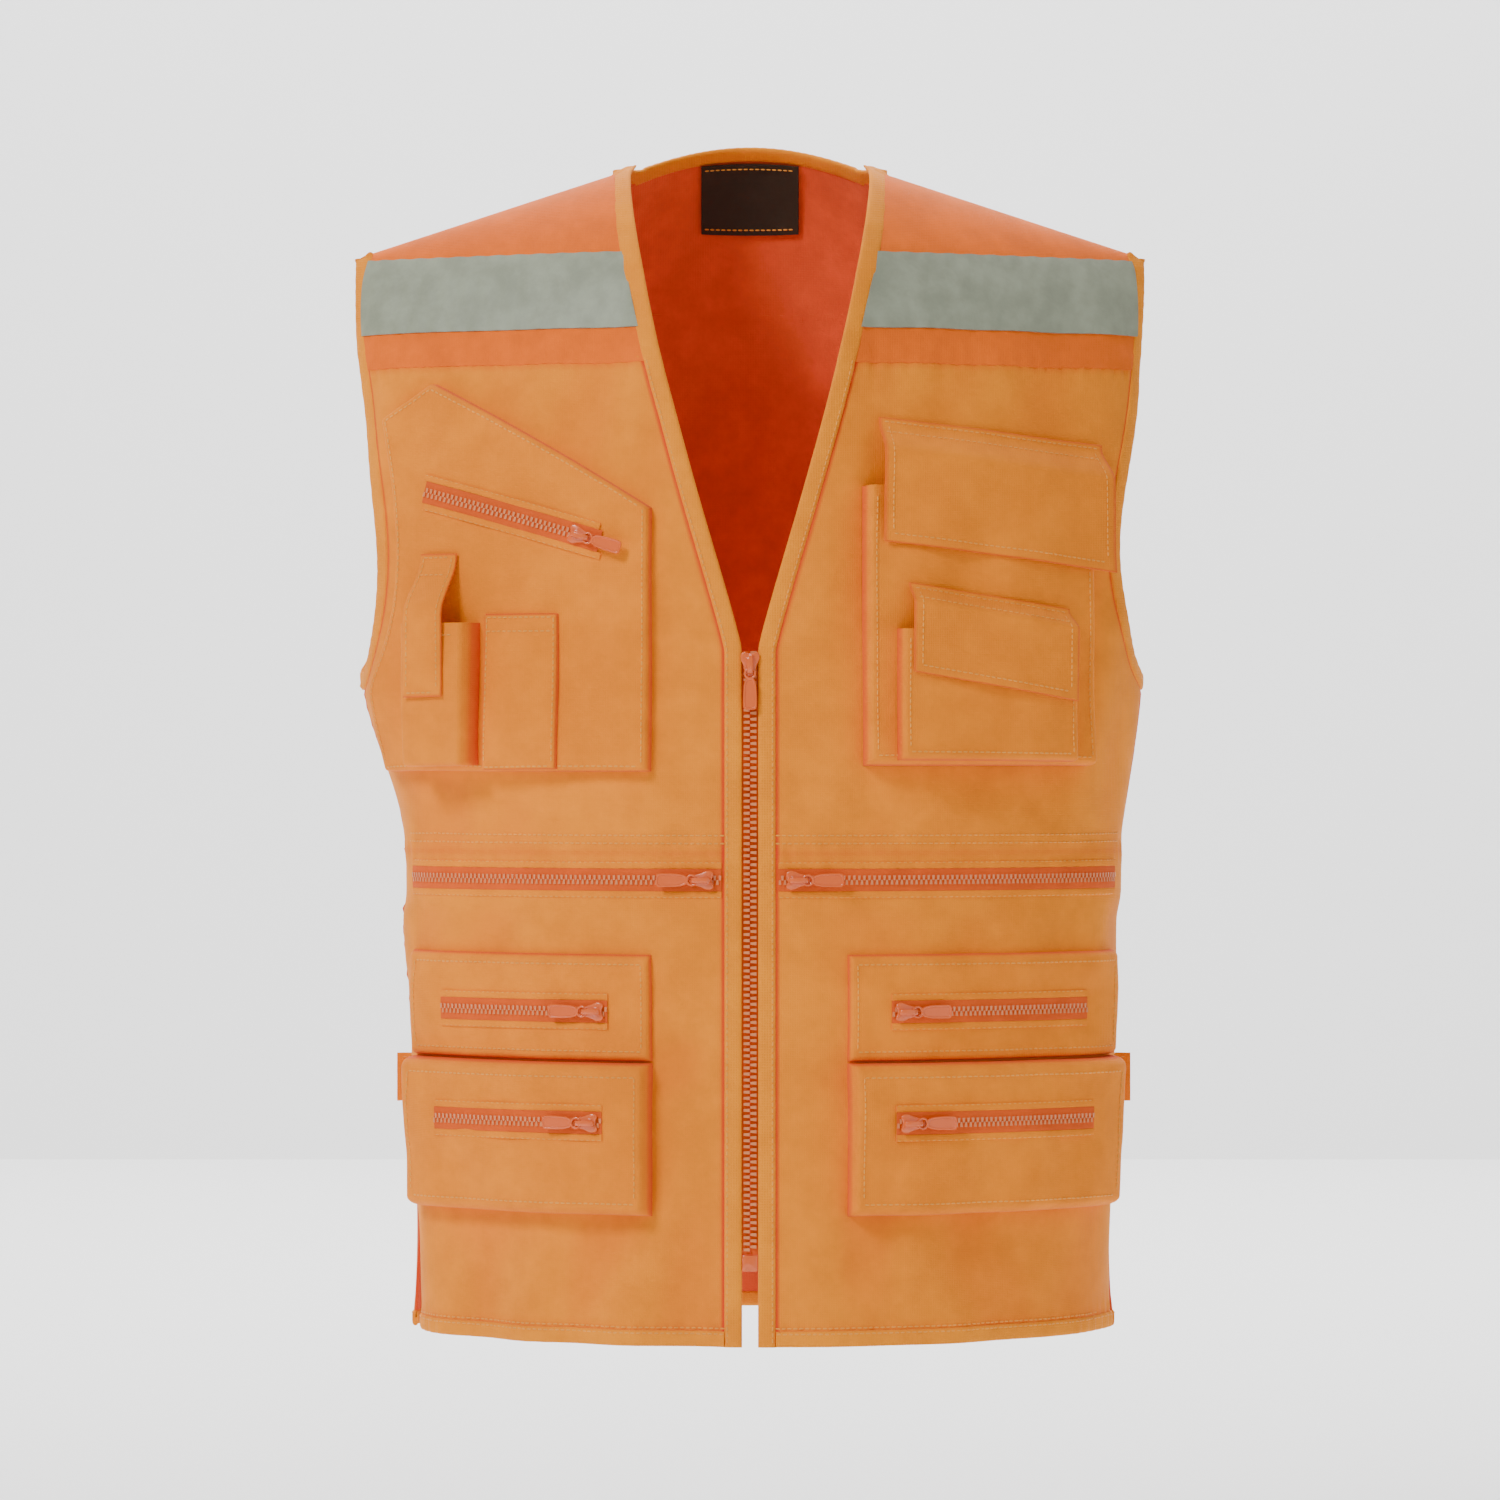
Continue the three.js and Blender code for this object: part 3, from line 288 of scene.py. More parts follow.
def back_neck_over(x):
    rise = BACK_NECK_RISE * (1 - np.clip(np.abs(x) / NECK_HALF_WIDTH, 0, 1) ** 2)
    return np.arccos(1 - rise / BACK_DOME)


# %% [markdown]
# ## Shader helpers
# A finish is easier to read as an expression than as a web of links. A small class wraps a socket, so that
# sums and products of masks write their own Math nodes, and one method makes any other node.

# %% Sockets as expressions
class Value:
    def __init__(self, tree, socket):
        self.tree = tree
        self.socket = socket

    def node(self, kind, settings=None, output=0, **inputs):
        made = self.tree.nodes.new("ShaderNode" + kind)
        for key, setting in (settings or {}).items():
            setattr(made, key, setting)
        for key, value in inputs.items():
            socket = made.inputs[int(key[1:])] if key[0] == "i" and key[1:].isdigit() else made.inputs[key]
            if isinstance(value, Value):
                self.tree.links.new(value.socket, socket)
            else:
                socket.default_value = value
        return Value(self.tree, made.outputs[output])

    def maths(self, operation, a, b):
        return self.node("Math", {"operation": operation}, i0=a, i1=b)

    def __add__(self, other):
        return self.maths("ADD", self, other)

    def __mul__(self, other):
        return self.maths("MULTIPLY", self, other)

    def __rsub__(self, other):
        return self.maths("SUBTRACT", other, self)

    __radd__ = __add__
    __rmul__ = __mul__

    def between(self, low, high):
        return self.node("MapRange", {"interpolation_type": "SMOOTHSTEP"}, i0=self, i1=low, i2=high)


def mix_colours(value, factor, first, second):
    """A Mix node for colours, whose own sockets have shared names."""
    made = value.tree.nodes.new("ShaderNodeMix")
    made.data_type = "RGBA"
    for index, item in ((0, factor), (6, first), (7, second)):
        if isinstance(item, Value):
            value.tree.links.new(item.socket, made.inputs[index])
        else:
            made.inputs[index].default_value = item
    return Value(value.tree, made.outputs[2])


def srgb(red, green, blue):
    def linear(channel):
        share = channel / 255
        return share / 12.92 if share <= 0.04045 else ((share + 0.055) / 1.055) ** 2.4
    return (linear(red), linear(green), linear(blue), 1.0)


# %% [markdown]
# ## The cloth
# The vest is a soft, slightly brushed plain weave dyed blaze orange. Up close it shows fine threads and slow
# changes of tone where it has been handled. Folds, seams and edges get painted shade, a deeper red-orange
# mixed in by an attribute called depth that each mesh carries.

# %% Cloth finish
THREAD = 900.0


def cloth(name, tone, shade, sheen=0.12, thread=THREAD, rough=0.82, bump=0.22, mottle=0.5):
    material = bpy.data.materials.new(name)
    material.use_nodes = True
    tree = material.node_tree
    shader = tree.nodes["Principled BSDF"]
    start = Value(tree, shader.outputs[0])
    place = start.node("TexCoord", output=3)
    slow = start.node("TexNoise", Vector=place, Scale=9.0, Detail=3.0)
    patch = start.node("TexNoise", Vector=place, Scale=55.0, Detail=4.0, Roughness=0.6)
    fuzz = start.node("TexNoise", Vector=place, Scale=520.0, Detail=3.0, Roughness=0.65)
    waves = dict(output=1, Vector=place, Scale=thread * 0.35, Distortion=0.8)
    warp = start.node("TexWave", {"bands_direction": "X"}, **waves)
    weft = start.node("TexWave", {"bands_direction": "Z"}, **waves)
    depth = start.node("Attribute", {"attribute_name": "depth"}, output=2)
    lighter = tuple(min(1.0, channel * 1.13) for channel in tone[:3]) + (1.0,)
    darker = tuple(channel * 0.86 for channel in tone[:3]) + (1.0,)
    worn = mix_colours(start, (patch * mottle + slow * (1 - mottle)).between(0.35, 0.68), darker, lighter)
    specks = mix_colours(start, fuzz.between(0.3, 0.75) * 0.3, worn, tone)
    # painted shade: the colour is mixed towards the shade colour as far as the depth attribute says
    with_painted_shade = mix_colours(start, depth, specks, shade)
    tree.links.new(with_painted_shade.socket, shader.inputs["Base Color"])
    tree.links.new((fuzz * 0.14 + (rough - 0.07)).socket, shader.inputs["Roughness"])
    threads = warp * 0.5 + weft * 0.5 + fuzz * 1.4 + patch * 3.2 + slow * 5.0
    relief_node = start.node("Bump", Strength=bump, Distance=0.0008, Height=threads)
    tree.links.new(relief_node.socket, shader.inputs["Normal"])
    shader.inputs["Sheen Weight"].default_value = sheen
    shader.inputs["Sheen Roughness"].default_value = 0.45
    shader.inputs["Sheen Tint"].default_value = (1.0, 0.72, 0.45, 1.0)
    shader.inputs["Specular IOR Level"].default_value = 0.25
    return material


# The second colour of each finish, such as the red-orange below, is painted shade: the cloth is mixed towards it in
# folds, along seams and at edges, as the depth attribute says.
ORANGE = srgb(250, 140, 6)
SHADE_RED_ORANGE = srgb(222, 58, 8)
FINISH = {
    "body_cloth": cloth("Blaze cloth", ORANGE, SHADE_RED_ORANGE),
    "pocket_cloth": cloth("Blaze pocket cloth", srgb(250, 137, 4), SHADE_RED_ORANGE),
    "yoke_cloth": cloth("Blaze yoke cloth", srgb(244, 108, 2), srgb(206, 44, 4)),
    "binding": cloth("Blaze binding", srgb(252, 146, 10), SHADE_RED_ORANGE, thread=620.0, bump=0.3),
    # the inside is a darker, redder copy of the cloth: painted shade, with light passing through the cloth painted in
    "inside": cloth("Blaze inside", srgb(240, 92, 44), srgb(180, 34, 12), sheen=0.15),
    "stitch": cloth("Orange thread", srgb(246, 164, 62), srgb(224, 92, 30), thread=1500.0, rough=0.6),
    "zip_tape": cloth("Zip tape", srgb(232, 98, 20), srgb(196, 36, 8), thread=1200.0),
    "label": cloth("Blank label", srgb(52, 45, 33), srgb(30, 25, 18), sheen=0.1, thread=1300.0, rough=0.7),
}
print("cloth finishes:", len(FINISH))


# %% [markdown]
# ## Meshes from grids
# A piece of cloth here is a grid of points on its outer face and the same grid a little further in, closed
# round its rim. Numpy makes such a grid in one go, which is quicker and steadier than editing vertices one
# by one. Long trims are swept: a small closed outline carried along a line on the cloth.

# %% Closed shells and sweeps
def make_object(name, points, faces, finishes, depth=None, face_slots=None):
    mesh = bpy.data.meshes.new(name)
    mesh.from_pydata((np.asarray(points) * MM).tolist(), [], faces)
    for finish in finishes:
        mesh.materials.append(FINISH[finish])
    if face_slots is not None:
        mesh.polygons.foreach_set("material_index", face_slots)
    # depth is painted shade: how far each point's colour is mixed towards its finish's shade colour
    values = np.zeros(len(points), np.float32) if depth is None else np.asarray(depth, np.float32)
    mesh.attributes.new("depth", "FLOAT", "POINT").data.foreach_set("value", np.clip(values, 0, 1))
    mesh.shade_smooth()
    mesh.set_sharp_from_angle(angle=math.radians(50))
    made = bpy.data.objects.new(name, mesh)
    bpy.context.scene.collection.objects.link(made)
    return made


def shell(name, outer, inner, finish, inside=None, depth=None):
    """A closed sheet between two grids of points (rows, columns, xyz)."""
    rows, columns = outer.shape[:2]
    count = rows * columns
    index = np.arange(count).reshape(rows, columns)
    quads = np.stack([index[:-1, :-1], index[1:, :-1], index[1:, 1:], index[:-1, 1:]], -1).reshape(-1, 4)
    edge_a = outer[1, 0] - outer[0, 0]
    edge_b = outer[0, 1] - outer[0, 0]
    if np.dot(np.cross(edge_a, edge_b), outer[0, 0] - inner[0, 0]) < 0:
        quads = quads[:, ::-1]
    rim_line = np.concatenate([index[0, :-1], index[:-1, -1], index[-1, :0:-1], index[:0:-1, 0]])
    after = np.roll(rim_line, -1)
    rim = np.stack([rim_line, after, after + count, rim_line + count], -1)
    if np.dot(np.cross(edge_a, edge_b), outer[0, 0] - inner[0, 0]) < 0:
        rim = rim[:, ::-1]
    faces = np.concatenate([quads, quads[:, ::-1] + count, rim])
    points = np.concatenate([outer.reshape(-1, 3), inner.reshape(-1, 3)])
    shades = np.zeros(outer.shape[:2]) if depth is None else np.broadcast_to(depth, outer.shape[:2])
    slots = np.zeros(len(faces), np.int32)
    slots[len(quads):2 * len(quads)] = 1 if inside else 0
    finishes = [finish] + ([inside] if inside else [])
    return make_object(name, points, faces.tolist(), finishes, np.tile(shades.reshape(-1), 2), slots)


def sweep(name, line, normals, outline, finish, closed=False, depth=0.0):
    """Carry a closed outline of (across, out) pairs along a line; line may vary its outline by station."""
    line, normals = np.asarray(line, float), np.asarray(normals, float)
    ahead = np.roll(line, -1, 0) - line if closed else np.gradient(line, axis=0)
    back = line - np.roll(line, 1, 0) if closed else ahead
    tangent = ahead + back
    tangent /= np.linalg.norm(tangent, axis=1, keepdims=True)
    across = np.cross(normals, tangent)
    across /= np.linalg.norm(across, axis=1, keepdims=True)
    outline = np.broadcast_to(np.asarray(outline, float), (len(line),) + np.shape(outline)[-2:])
    points = line[:, None] + across[:, None] * outline[..., :1] + normals[:, None] * outline[..., 1:]
    sides = outline.shape[1]
    stations = len(line)
    faces = []
    for station in range(stations if closed else stations - 1):
        after = (station + 1) % stations
        for side in range(sides):
            other = (side + 1) % sides
            low, high = station * sides, after * sides
            faces.append((low + side, high + side, high + other, low + other))
    if not closed:
        faces.append(tuple(range(sides)))
        faces.append(tuple(range(stations * sides - 1, (stations - 1) * sides - 1, -1)))
    return make_object(name, points.reshape(-1, 3), faces, [finish], np.full(stations * sides, depth))


def rounded_outline(half_width_mm, low, high, sides=14, power=3.2):
    """A flat outline with rounded ends, from low to high."""
    angles = np.linspace(0, 2 * math.pi, sides, endpoint=False)
    across = np.sign(np.cos(angles)) * np.abs(np.cos(angles)) ** (2 / power) * half_width_mm
    out = np.sign(np.sin(angles)) * np.abs(np.sin(angles)) ** (2 / power) * (high - low) / 2 + (high + low) / 2
    return np.stack([across, out], -1)


# %% Finishing calls
def finish_piece(made, body, slot, *nodes):
    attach(made, body)
    if nodes:
        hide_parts(*nodes)
    return made


def blend_piece(made, name, slot, *nodes):
    """A shoulder piece: its place is baked into its mesh and the CAD parts it stands for are hidden."""
    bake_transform(made)
    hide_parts(*nodes)
    return made


def grid_area(grid):
    """The area of a grid of points, in square metres."""
    a = grid[1:, :-1] - grid[:-1, :-1]
    b = grid[:-1, 1:] - grid[:-1, :-1]
    return float(np.linalg.norm(np.cross(a, b), axis=-1).sum()) * MM * MM


def declare_sheet(grid):
    """Work out the flat size of a sheet: its longest row and column, and its cut's area. The values are not kept."""
    width = np.linalg.norm(np.diff(grid, axis=1), axis=-1).sum(1).max() * MM
    length = np.linalg.norm(np.diff(grid, axis=0), axis=-1).sum(0).max() * MM
    area = min(grid_area(grid), width * length)


# %% [markdown]
# ## Stitches
# Every seam on the vest is a row of short stitches of slightly paler thread that sit in a shallow groove.
# A dashed texture would look flat from the side, so each stitch is a small tapered body. They are gathered
# by body and made as one mesh for each, because thousands of separate objects would be slow.

# %% Stitch rows
STITCH_PITCH = 3.4
STITCH_LENGTH = 2.5
STITCH_HALF_WIDTH = 0.5
STITCH_HALF_HEIGHT = 0.42
stitch_rows = {}


def stitch(body, line, normals, pitch=STITCH_PITCH, half=STITCH_HALF_WIDTH):
    """Add stitches along a line of points."""
    line, normals = np.asarray(line, float), np.asarray(normals, float)
    steps = np.linalg.norm(np.diff(line, axis=0), axis=1)
    travelled = np.concatenate([[0], np.cumsum(steps)])
    count = int(travelled[-1] / pitch)
    if count < 1:
        return
    starts = np.arange(count) * pitch + 0.4
    ends = starts + pitch * STITCH_LENGTH / STITCH_PITCH

    def at(lengths, values):
        return np.stack([np.interp(lengths, travelled, values[:, axis]) for axis in range(3)], -1)

    rows = stitch_rows.setdefault(body, [])
    rows.append((at(starts, line), at(ends, line), at((starts + ends) / 2, normals), half))


def make_stitches(body, slot):
    points = []
    faces = []
    count = 0
    for first, last, normal, half in stitch_rows[body]:
        tangent = last - first
        tangent /= np.maximum(np.linalg.norm(tangent, axis=1, keepdims=True), 1e-9)
        across = np.cross(normal, tangent)
        for begin, end, out, side in zip(first, last, normal, across):
            for share, size in ((0.0, 0.45), (0.25, 1.0), (0.75, 1.0), (1.0, 0.45)):
                middle = begin + (end - begin) * share
                ring = ((half, 0), (0, STITCH_HALF_HEIGHT), (-half, 0), (0, -STITCH_HALF_HEIGHT))
                points.extend(middle + side * a * size + out * b * size for a, b in ring)
            for ring in range(3):
                low = count + 4 * ring
                for corner in range(4):
                    after = (corner + 1) % 4
                    faces.append((low + corner, low + after, low + 4 + after, low + 4 + corner))
            faces.append((count + 3, count + 2, count + 1, count))
            faces.append((count + 12, count + 13, count + 14, count + 15))
            count += 16
    made = make_object("stitches_" + body, np.array(points), faces, ["stitch"])
    return finish_piece(made, body, slot)


def stitch_across(body, low_x, high_x, height_of, level, back=False, steps=60):
    """A row of stitches across the cloth between two places, at a height that may slope."""
    x = np.linspace(low_x, high_x, steps)
    z = height_of(x) if callable(height_of) else np.full(steps, float(height_of))
    turn = turn_at(x, z, back)
    stitch(body, lay(turn, z, level), outward(turn, z))


# %% [markdown]
# ## Panels
# The back is one piece from side seam to side seam, and each front has an upper and a lower part that meet
# at the waist. Each is laid as a fine grid between its two edge curves. The inside has its own darker and
# redder finish, which is painted shade, with the red-orange of light passing through the cloth painted in too.

# %% Back and fronts
CLOTH_THICKNESS = 1.3
GRID = 4.5
FRONT_GRID = 3.5
FRONT_COLUMNS = 72
BACK_COLUMNS = 150


def smooth_ends(count):
    """Shares from 0 to 1, closer together at both ends."""
    even = np.linspace(0, 1, count)
    return lerp(even, 0.5 - 0.5 * np.cos(even * math.pi), 0.7)


def panel(name, heights, from_turn, to_turn, finish, columns, lift=0.0, inside="inside"):
    z = np.asarray(heights, float)[:, None]
    share = smooth_ends(columns)[None]
    length = lerp(arc_length(from_turn(z), z), arc_length(to_turn(z), z), share)
    turn = turn_along(length, z)
    outer = lay(turn, z, lift)
    inner = lay(turn, z, lift - CLOTH_THICKNESS)
    # painted shade for the depth attribute: darker along the seam lines, in the hollows of the folds and within a few
    # millimetres of the panel's edges, under the bindings
    seam_and_edge_shade = np.zeros_like(turn)
    for line in SEAM_LINES:
        seam_and_edge_shade = seam_and_edge_shade + 0.35 * np.exp(-(((z - line) / 2.2) ** 2)) * (np.cos(turn) > 0)
    hollow = np.clip(-relief(turn, z) / 14, 0, 0.14)
    from_edge = np.minimum(np.abs(length - length[:, :1]), np.abs(length - length[:, -1:]))
    seam_and_edge_shade = seam_and_edge_shade + 0.9 * (1 - smooth(from_edge, 2.2, 4.2))
    made = shell(name, outer, inner, finish, inside, seam_and_edge_shade + hollow)
    return made, outer


def steps_between(high, low, spacing=GRID):
    return np.linspace(high, low, max(2, int(abs(high - low) / spacing) + 1))


back_heights = steps_between(BACK_YOKE_Z + 2, HEM_Z + 5)
back_reach = lambda z: np.minimum(side_turn(z), QUARTER - 0.5 / SIDE_RADIUS)
made, grid = panel(
    "back_cloth", back_heights, lambda z: math.pi - back_reach(z), lambda z: math.pi + back_reach(z),
    "body_cloth", BACK_COLUMNS,
)
finish_piece(made, "back", "body_cloth", "back_panel")
declare_sheet(grid)
for name, side in SIDES:
    body = name + "_front"
    inner_edge = lambda z, side=side: turn_at(side * (neck_edge(z) + BINDING - 1.5), z)
    outer_edge = lambda z, side=side: side * side_turn(z)
    upper_heights = steps_between(YOKE_Z + 2, WAIST_Z - 1, FRONT_GRID)
    upper, grid = panel(
        "front_upper_cloth_" + name, upper_heights, inner_edge, outer_edge, "body_cloth", FRONT_COLUMNS,
    )
    finish_piece(upper, body, "body_cloth", "front_upper_" + name)
    declare_sheet(grid)
    lower_heights = steps_between(WAIST_Z + 1, HEM_Z + 5, FRONT_GRID)
    lower, grid = panel(
        "front_lower_cloth_" + name, lower_heights, inner_edge, outer_edge, "body_cloth", FRONT_COLUMNS,
    )
    finish_piece(lower, body, "body_cloth", "front_lower_" + name)
    declare_sheet(grid)
    for drop in (1.5, 6.0):
        stitch_across(body, side * 14, side * (half_width(WAIST_Z) - 3) + shift(WAIST_Z), WAIST_Z + 4 + drop, 0.3)
    stitch_across(body, side * 14, side * (half_width(HEM_Z) - 3) + shift(HEM_Z), HEM_Z + 10.5, 0.3)
print("panels laid")

# %% [markdown]
# ## Yokes and reflective tape
# The yokes lie over the shoulders, a little deeper in colour where the cloth is doubled. Their rows follow
# the shoulder line instead of level heights, so that the front and back yokes meet on the ridge. The tape
# is a thin grey band sewn along both edges, and it puckers between its stitches.

# %% Yokes
def yoke_grid(side, back, top_over, bottom_z, inward, outer_gap, rows, columns):
    """Facings and heights for a yoke piece: side is -1 or 1 for a front one, 0 for the back."""
    dome = BACK_DOME if back else FRONT_DOME
    span = armhole_seam(np.float64(ARMHOLE_TOP_Z)) - outer_gap + 1.0
    if side:
        share = np.linspace(0, 1, columns)[None]
        along = lerp(NECK_HALF_WIDTH + inward, span, share)
    else:
        share = np.linspace(-1, 1, columns)[None]
        along = share * span
    down = np.linspace(0, 1, rows)[:, None]
    z = dome_height(along, lerp(top_over(along), over_at(along, bottom_z, dome), down), dome)
    limit = armhole_seam(z) - outer_gap + 1.0
    if side:
        x = side * lerp(neck_edge(z) + inward, limit, share)
    else:
        x = share * limit
    return turn_at(x, z, back), z


def laid_shell(name, turn, z, low, high, finish, inside=None, depth=None):
    outer = lay(turn, z, high)
    return shell(name, outer, lay(turn, z, low), finish, inside, depth), outer


RIDGE_START = 0.35 / HALF_DEPTH
NECK_LAP = BINDING - 1.5
TAPE_TOP_Z = YOKE_Z + 63
TAPE_BOTTOM_Z = YOKE_Z + 19


def over_neck(x):
    """How far over the back the neck binding reaches."""
    outer = NECK_HALF_WIDTH + NECK_LAP
    share = np.clip(np.abs(x) / outer, 0, 1)
    return np.maximum(back_neck_over(share * NECK_HALF_WIDTH) + NECK_LAP / HALF_DEPTH * (1 - share ** 2), RIDGE_START)


turn, z = yoke_grid(0, True, over_neck, BACK_YOKE_Z - 1, 0, 0, 34, 150)
made, grid = laid_shell("back_yoke_cloth", turn, z, -CLOTH_THICKNESS, 0.5, "yoke_cloth", "inside")
finish_piece(made, "back", "yoke_cloth", "back_yoke")
declare_sheet(grid)
tape_top = lambda x: over_at(x, np.minimum(-19.0, ridge(x) - 1.5), BACK_DOME)
turn, z = yoke_grid(0, True, tape_top, BACK_YOKE_Z + 8, 0, 0, 16, 150)
FINISH["reflective_tape"] = cloth(
    "Reflective tape", srgb(146, 152, 132), srgb(104, 106, 92),
    sheen=0.2, thread=1400.0, rough=0.42, bump=0.12, mottle=0.8,
)
made, grid = laid_shell("reflective_tape_cloth_back", turn, z, 0.7, 1.5, "reflective_tape")
finish_piece(made, "back", "reflective_tape", "reflective_tape_back")
declare_sheet(grid)
for row in (1, -2):
    stitch("back", lay(turn[row], z[row], 1.6), outward(turn[row], z[row]))

for name, side in SIDES:
    start = lambda x: np.full_like(x, RIDGE_START)
    turn, z = yoke_grid(side, False, start, YOKE_Z - 1, NECK_LAP, 0, 34, 56)
    made, grid = laid_shell("yoke_cloth_" + name, turn, z, -CLOTH_THICKNESS, 0.5, "yoke_cloth", "inside")
    blend_piece(made, name, "yoke_cloth", "front_yoke_" + name)
    declare_sheet(grid)
    top = lambda x: over_at(x, TAPE_TOP_Z, FRONT_DOME)
    turn, z = yoke_grid(side, False, top, TAPE_BOTTOM_Z, NECK_LAP, 0, 16, 70)
    wave = 0.35 * np.sin(arc_length(turn, z) / 2.1) * np.cos(np.linspace(-3, 3, 16))[:, None]
    outer = lay(turn, z, 1.5 + wave)
    made = shell("reflective_tape_cloth_" + name, outer, lay(turn, z, 0.6), "reflective_tape")
    blend_piece(made, name, "reflective_tape", "reflective_tape_" + name)
    declare_sheet(outer)
print("yokes laid")


# %% [markdown]
# ## Bound edges
# A strip of cloth is folded over every raw edge and sewn through: the neck, the front edges, the armholes
# and the hem. It is thicker than the panel and its edge is round, so it is swept as a flat outline with
# round ends. The row of stitches near its seam pulls it into small ripples.

# %% Bindings
BINDING_OUTLINE = rounded_outline(BINDING / 2, -2.1, 1.15)


def binding_line(edge_turn, edge_z, seam_turn, seam_z):
    """The middle of a binding, its normals, and the line of its stitches."""
    edge = lay(edge_turn, edge_z, 0)
    seam = lay(seam_turn, seam_z, 0)
    normal = outward(edge_turn, edge_z) + outward(seam_turn, seam_z)
    normal /= np.linalg.norm(normal, axis=-1, keepdims=True)
    return (edge + seam) / 2, normal, edge + (seam - edge) * 0.82, np.linalg.norm(seam - edge, axis=-1) / 2


def ripple(stations, seed, size=0.22):
    return size * np.sin(np.arange(stations) * 2.1 + 2 * noise(np.arange(stations) / 4, np.zeros(stations), seed))


def bind(name, edge, seam, body, slot, nodes, seed, blend=None, closed=False):
    middle, normal, stitches, half = binding_line(*edge, *seam)
    outline = np.repeat(BINDING_OUTLINE[None], len(middle), 0)
    outline[..., 0] *= (half / (BINDING / 2))[:, None]
    outline[..., 1] += (ripple(len(middle), seed) * 0.6)[:, None] * (outline[..., 1] > 0)
    made = sweep(name, middle, normal, outline, "binding", closed)
    if blend:
        blend_piece(made, blend, slot, *nodes)
    else:
        finish_piece(made, body, slot, *nodes)
        stitch(body, stitches + normal * 1.15, normal)
    return made


BIND_STEP = 3.5
HEM_DEPTH = 9
shares = np.linspace(1, -1, 90)
edge_x = shares * NECK_HALF_WIDTH
seam_x = shares * (NECK_HALF_WIDTH + BINDING)
edge_z = dome_height(edge_x, np.maximum(back_neck_over(edge_x), RIDGE_START), BACK_DOME)
seam_over = back_neck_over(edge_x) + BINDING / HALF_DEPTH * (1 - shares ** 2)
seam_z = dome_height(seam_x, np.maximum(seam_over, RIDGE_START), BACK_DOME)
bind(
    "neck_binding_back", (turn_at(edge_x, edge_z, True), edge_z), (turn_at(seam_x, seam_z, True), seam_z),
    "back", "binding", ["neck_binding"], 21,
)
for name, side in SIDES:
    over = np.linspace(RIDGE_START, over_at(np.float64(NECK_HALF_WIDTH), YOKE_Z - 1.0, FRONT_DOME), 36)
    z = dome_height(np.float64(NECK_HALF_WIDTH), over, FRONT_DOME)
    bind(
        "neck_binding_front_" + name, (turn_at(side * neck_edge(z), z), z),
        (turn_at(side * (neck_edge(z) + BINDING), z), z), "back", "binding", ["neck_binding"], 22, blend=name,
    )
    z = steps_between(YOKE_Z, HEM_Z, BIND_STEP)
    bind(
        "front_edge_binding_cloth_" + name, (turn_at(side * neck_edge(z), z), z),
        (turn_at(side * (neck_edge(z) + BINDING), z), z), name + "_front", "binding",
        ["front_edge_binding_" + name], 23,
    )
    edge_share = (ARMHOLE_TOP_Z - ARMHOLE_Z) / (ARMHOLE_TOP_Z - SEAM_BOTTOM_Z)
    seam_z = lerp(ARMHOLE_TOP_Z - 0.6, SEAM_BOTTOM_Z, (1 - np.cos(np.linspace(0, math.pi, 90))) / 2)
    edge_z = lerp(ARMHOLE_TOP_Z, seam_z, edge_share)
    for back in (False, True):
        edge = (turn_at(side * armhole_edge(edge_z) + shift(edge_z), edge_z, back), edge_z)
        seam = (turn_at(side * armhole_seam(seam_z) + shift(seam_z), seam_z, back), seam_z)
        bind(
            f"armhole_binding_{'back' if back else 'front'}_{name}", edge, seam, "back", "binding",
            ["armhole_binding_" + name], 24, blend=None if back else name,
        )
    turns = np.linspace(turn_at(side * (FRONT_EDGE_X + BINDING), np.float64(HEM_Z)), side * QUARTER, 70)
    level = np.full(70, float(HEM_Z))
    bind(
        "hem_cloth_" + name, (turns, level), (turns, level + HEM_DEPTH), name + "_front", "binding",
        ["hem_binding_" + name], 25,
    )
turns = np.linspace(QUARTER + 0.5 / SIDE_RADIUS, 3 * QUARTER - 0.5 / SIDE_RADIUS, 150)
level = np.full(150, float(HEM_Z))
bind("hem_cloth_back", (turns, level), (turns, level + HEM_DEPTH), "back", "binding", ["hem_binding_back"], 26)
print("edges bound")


# %% [markdown]
# ## Pockets, flaps and the strap
# A pocket is one piece of cloth with its edges turned under, so its face is flat and its rim is round. The
# bellows ones have a gusset that holds the face off the vest. The chest pockets are open at the top and a
# flap or strap comes down over the opening. Each is a fine grid between the same corners as in the frame.

# %% Pocket shapes
LOW = 0.2
CHEST_LOW = 2.2
PHONE_LOW = 9.4
SMALL_LOW = 15.4
POCKET_NEAR_X = 55
SIDE_INSET = 5
CHEST_INSET = 9
POCKET_GRID = 2.2
POCKET_CLOTH = 1.3


def spot(u, v, near, far, top, bottom):
    """Facing and height of a place on a pocket: u from near to far, v from top to bottom."""
    value = lambda side, at: side(at) if callable(side) else side + 0 * at
    z = lerp(value(top, u), value(bottom, u), v)
    x = lerp(value(near, z), value(far, z), u)
    return turn_at(x, z), z


def side_x(side, inset):
    return lambda z: side * (half_width(z) - inset) + shift(z)


def rim(distance, radius):
    """Rises from 0 at an edge to 1 at the radius, round like a turned edge."""
    share = np.clip(distance / radius, 0, 1)
    return np.sqrt(1 - (1 - share) ** 2)


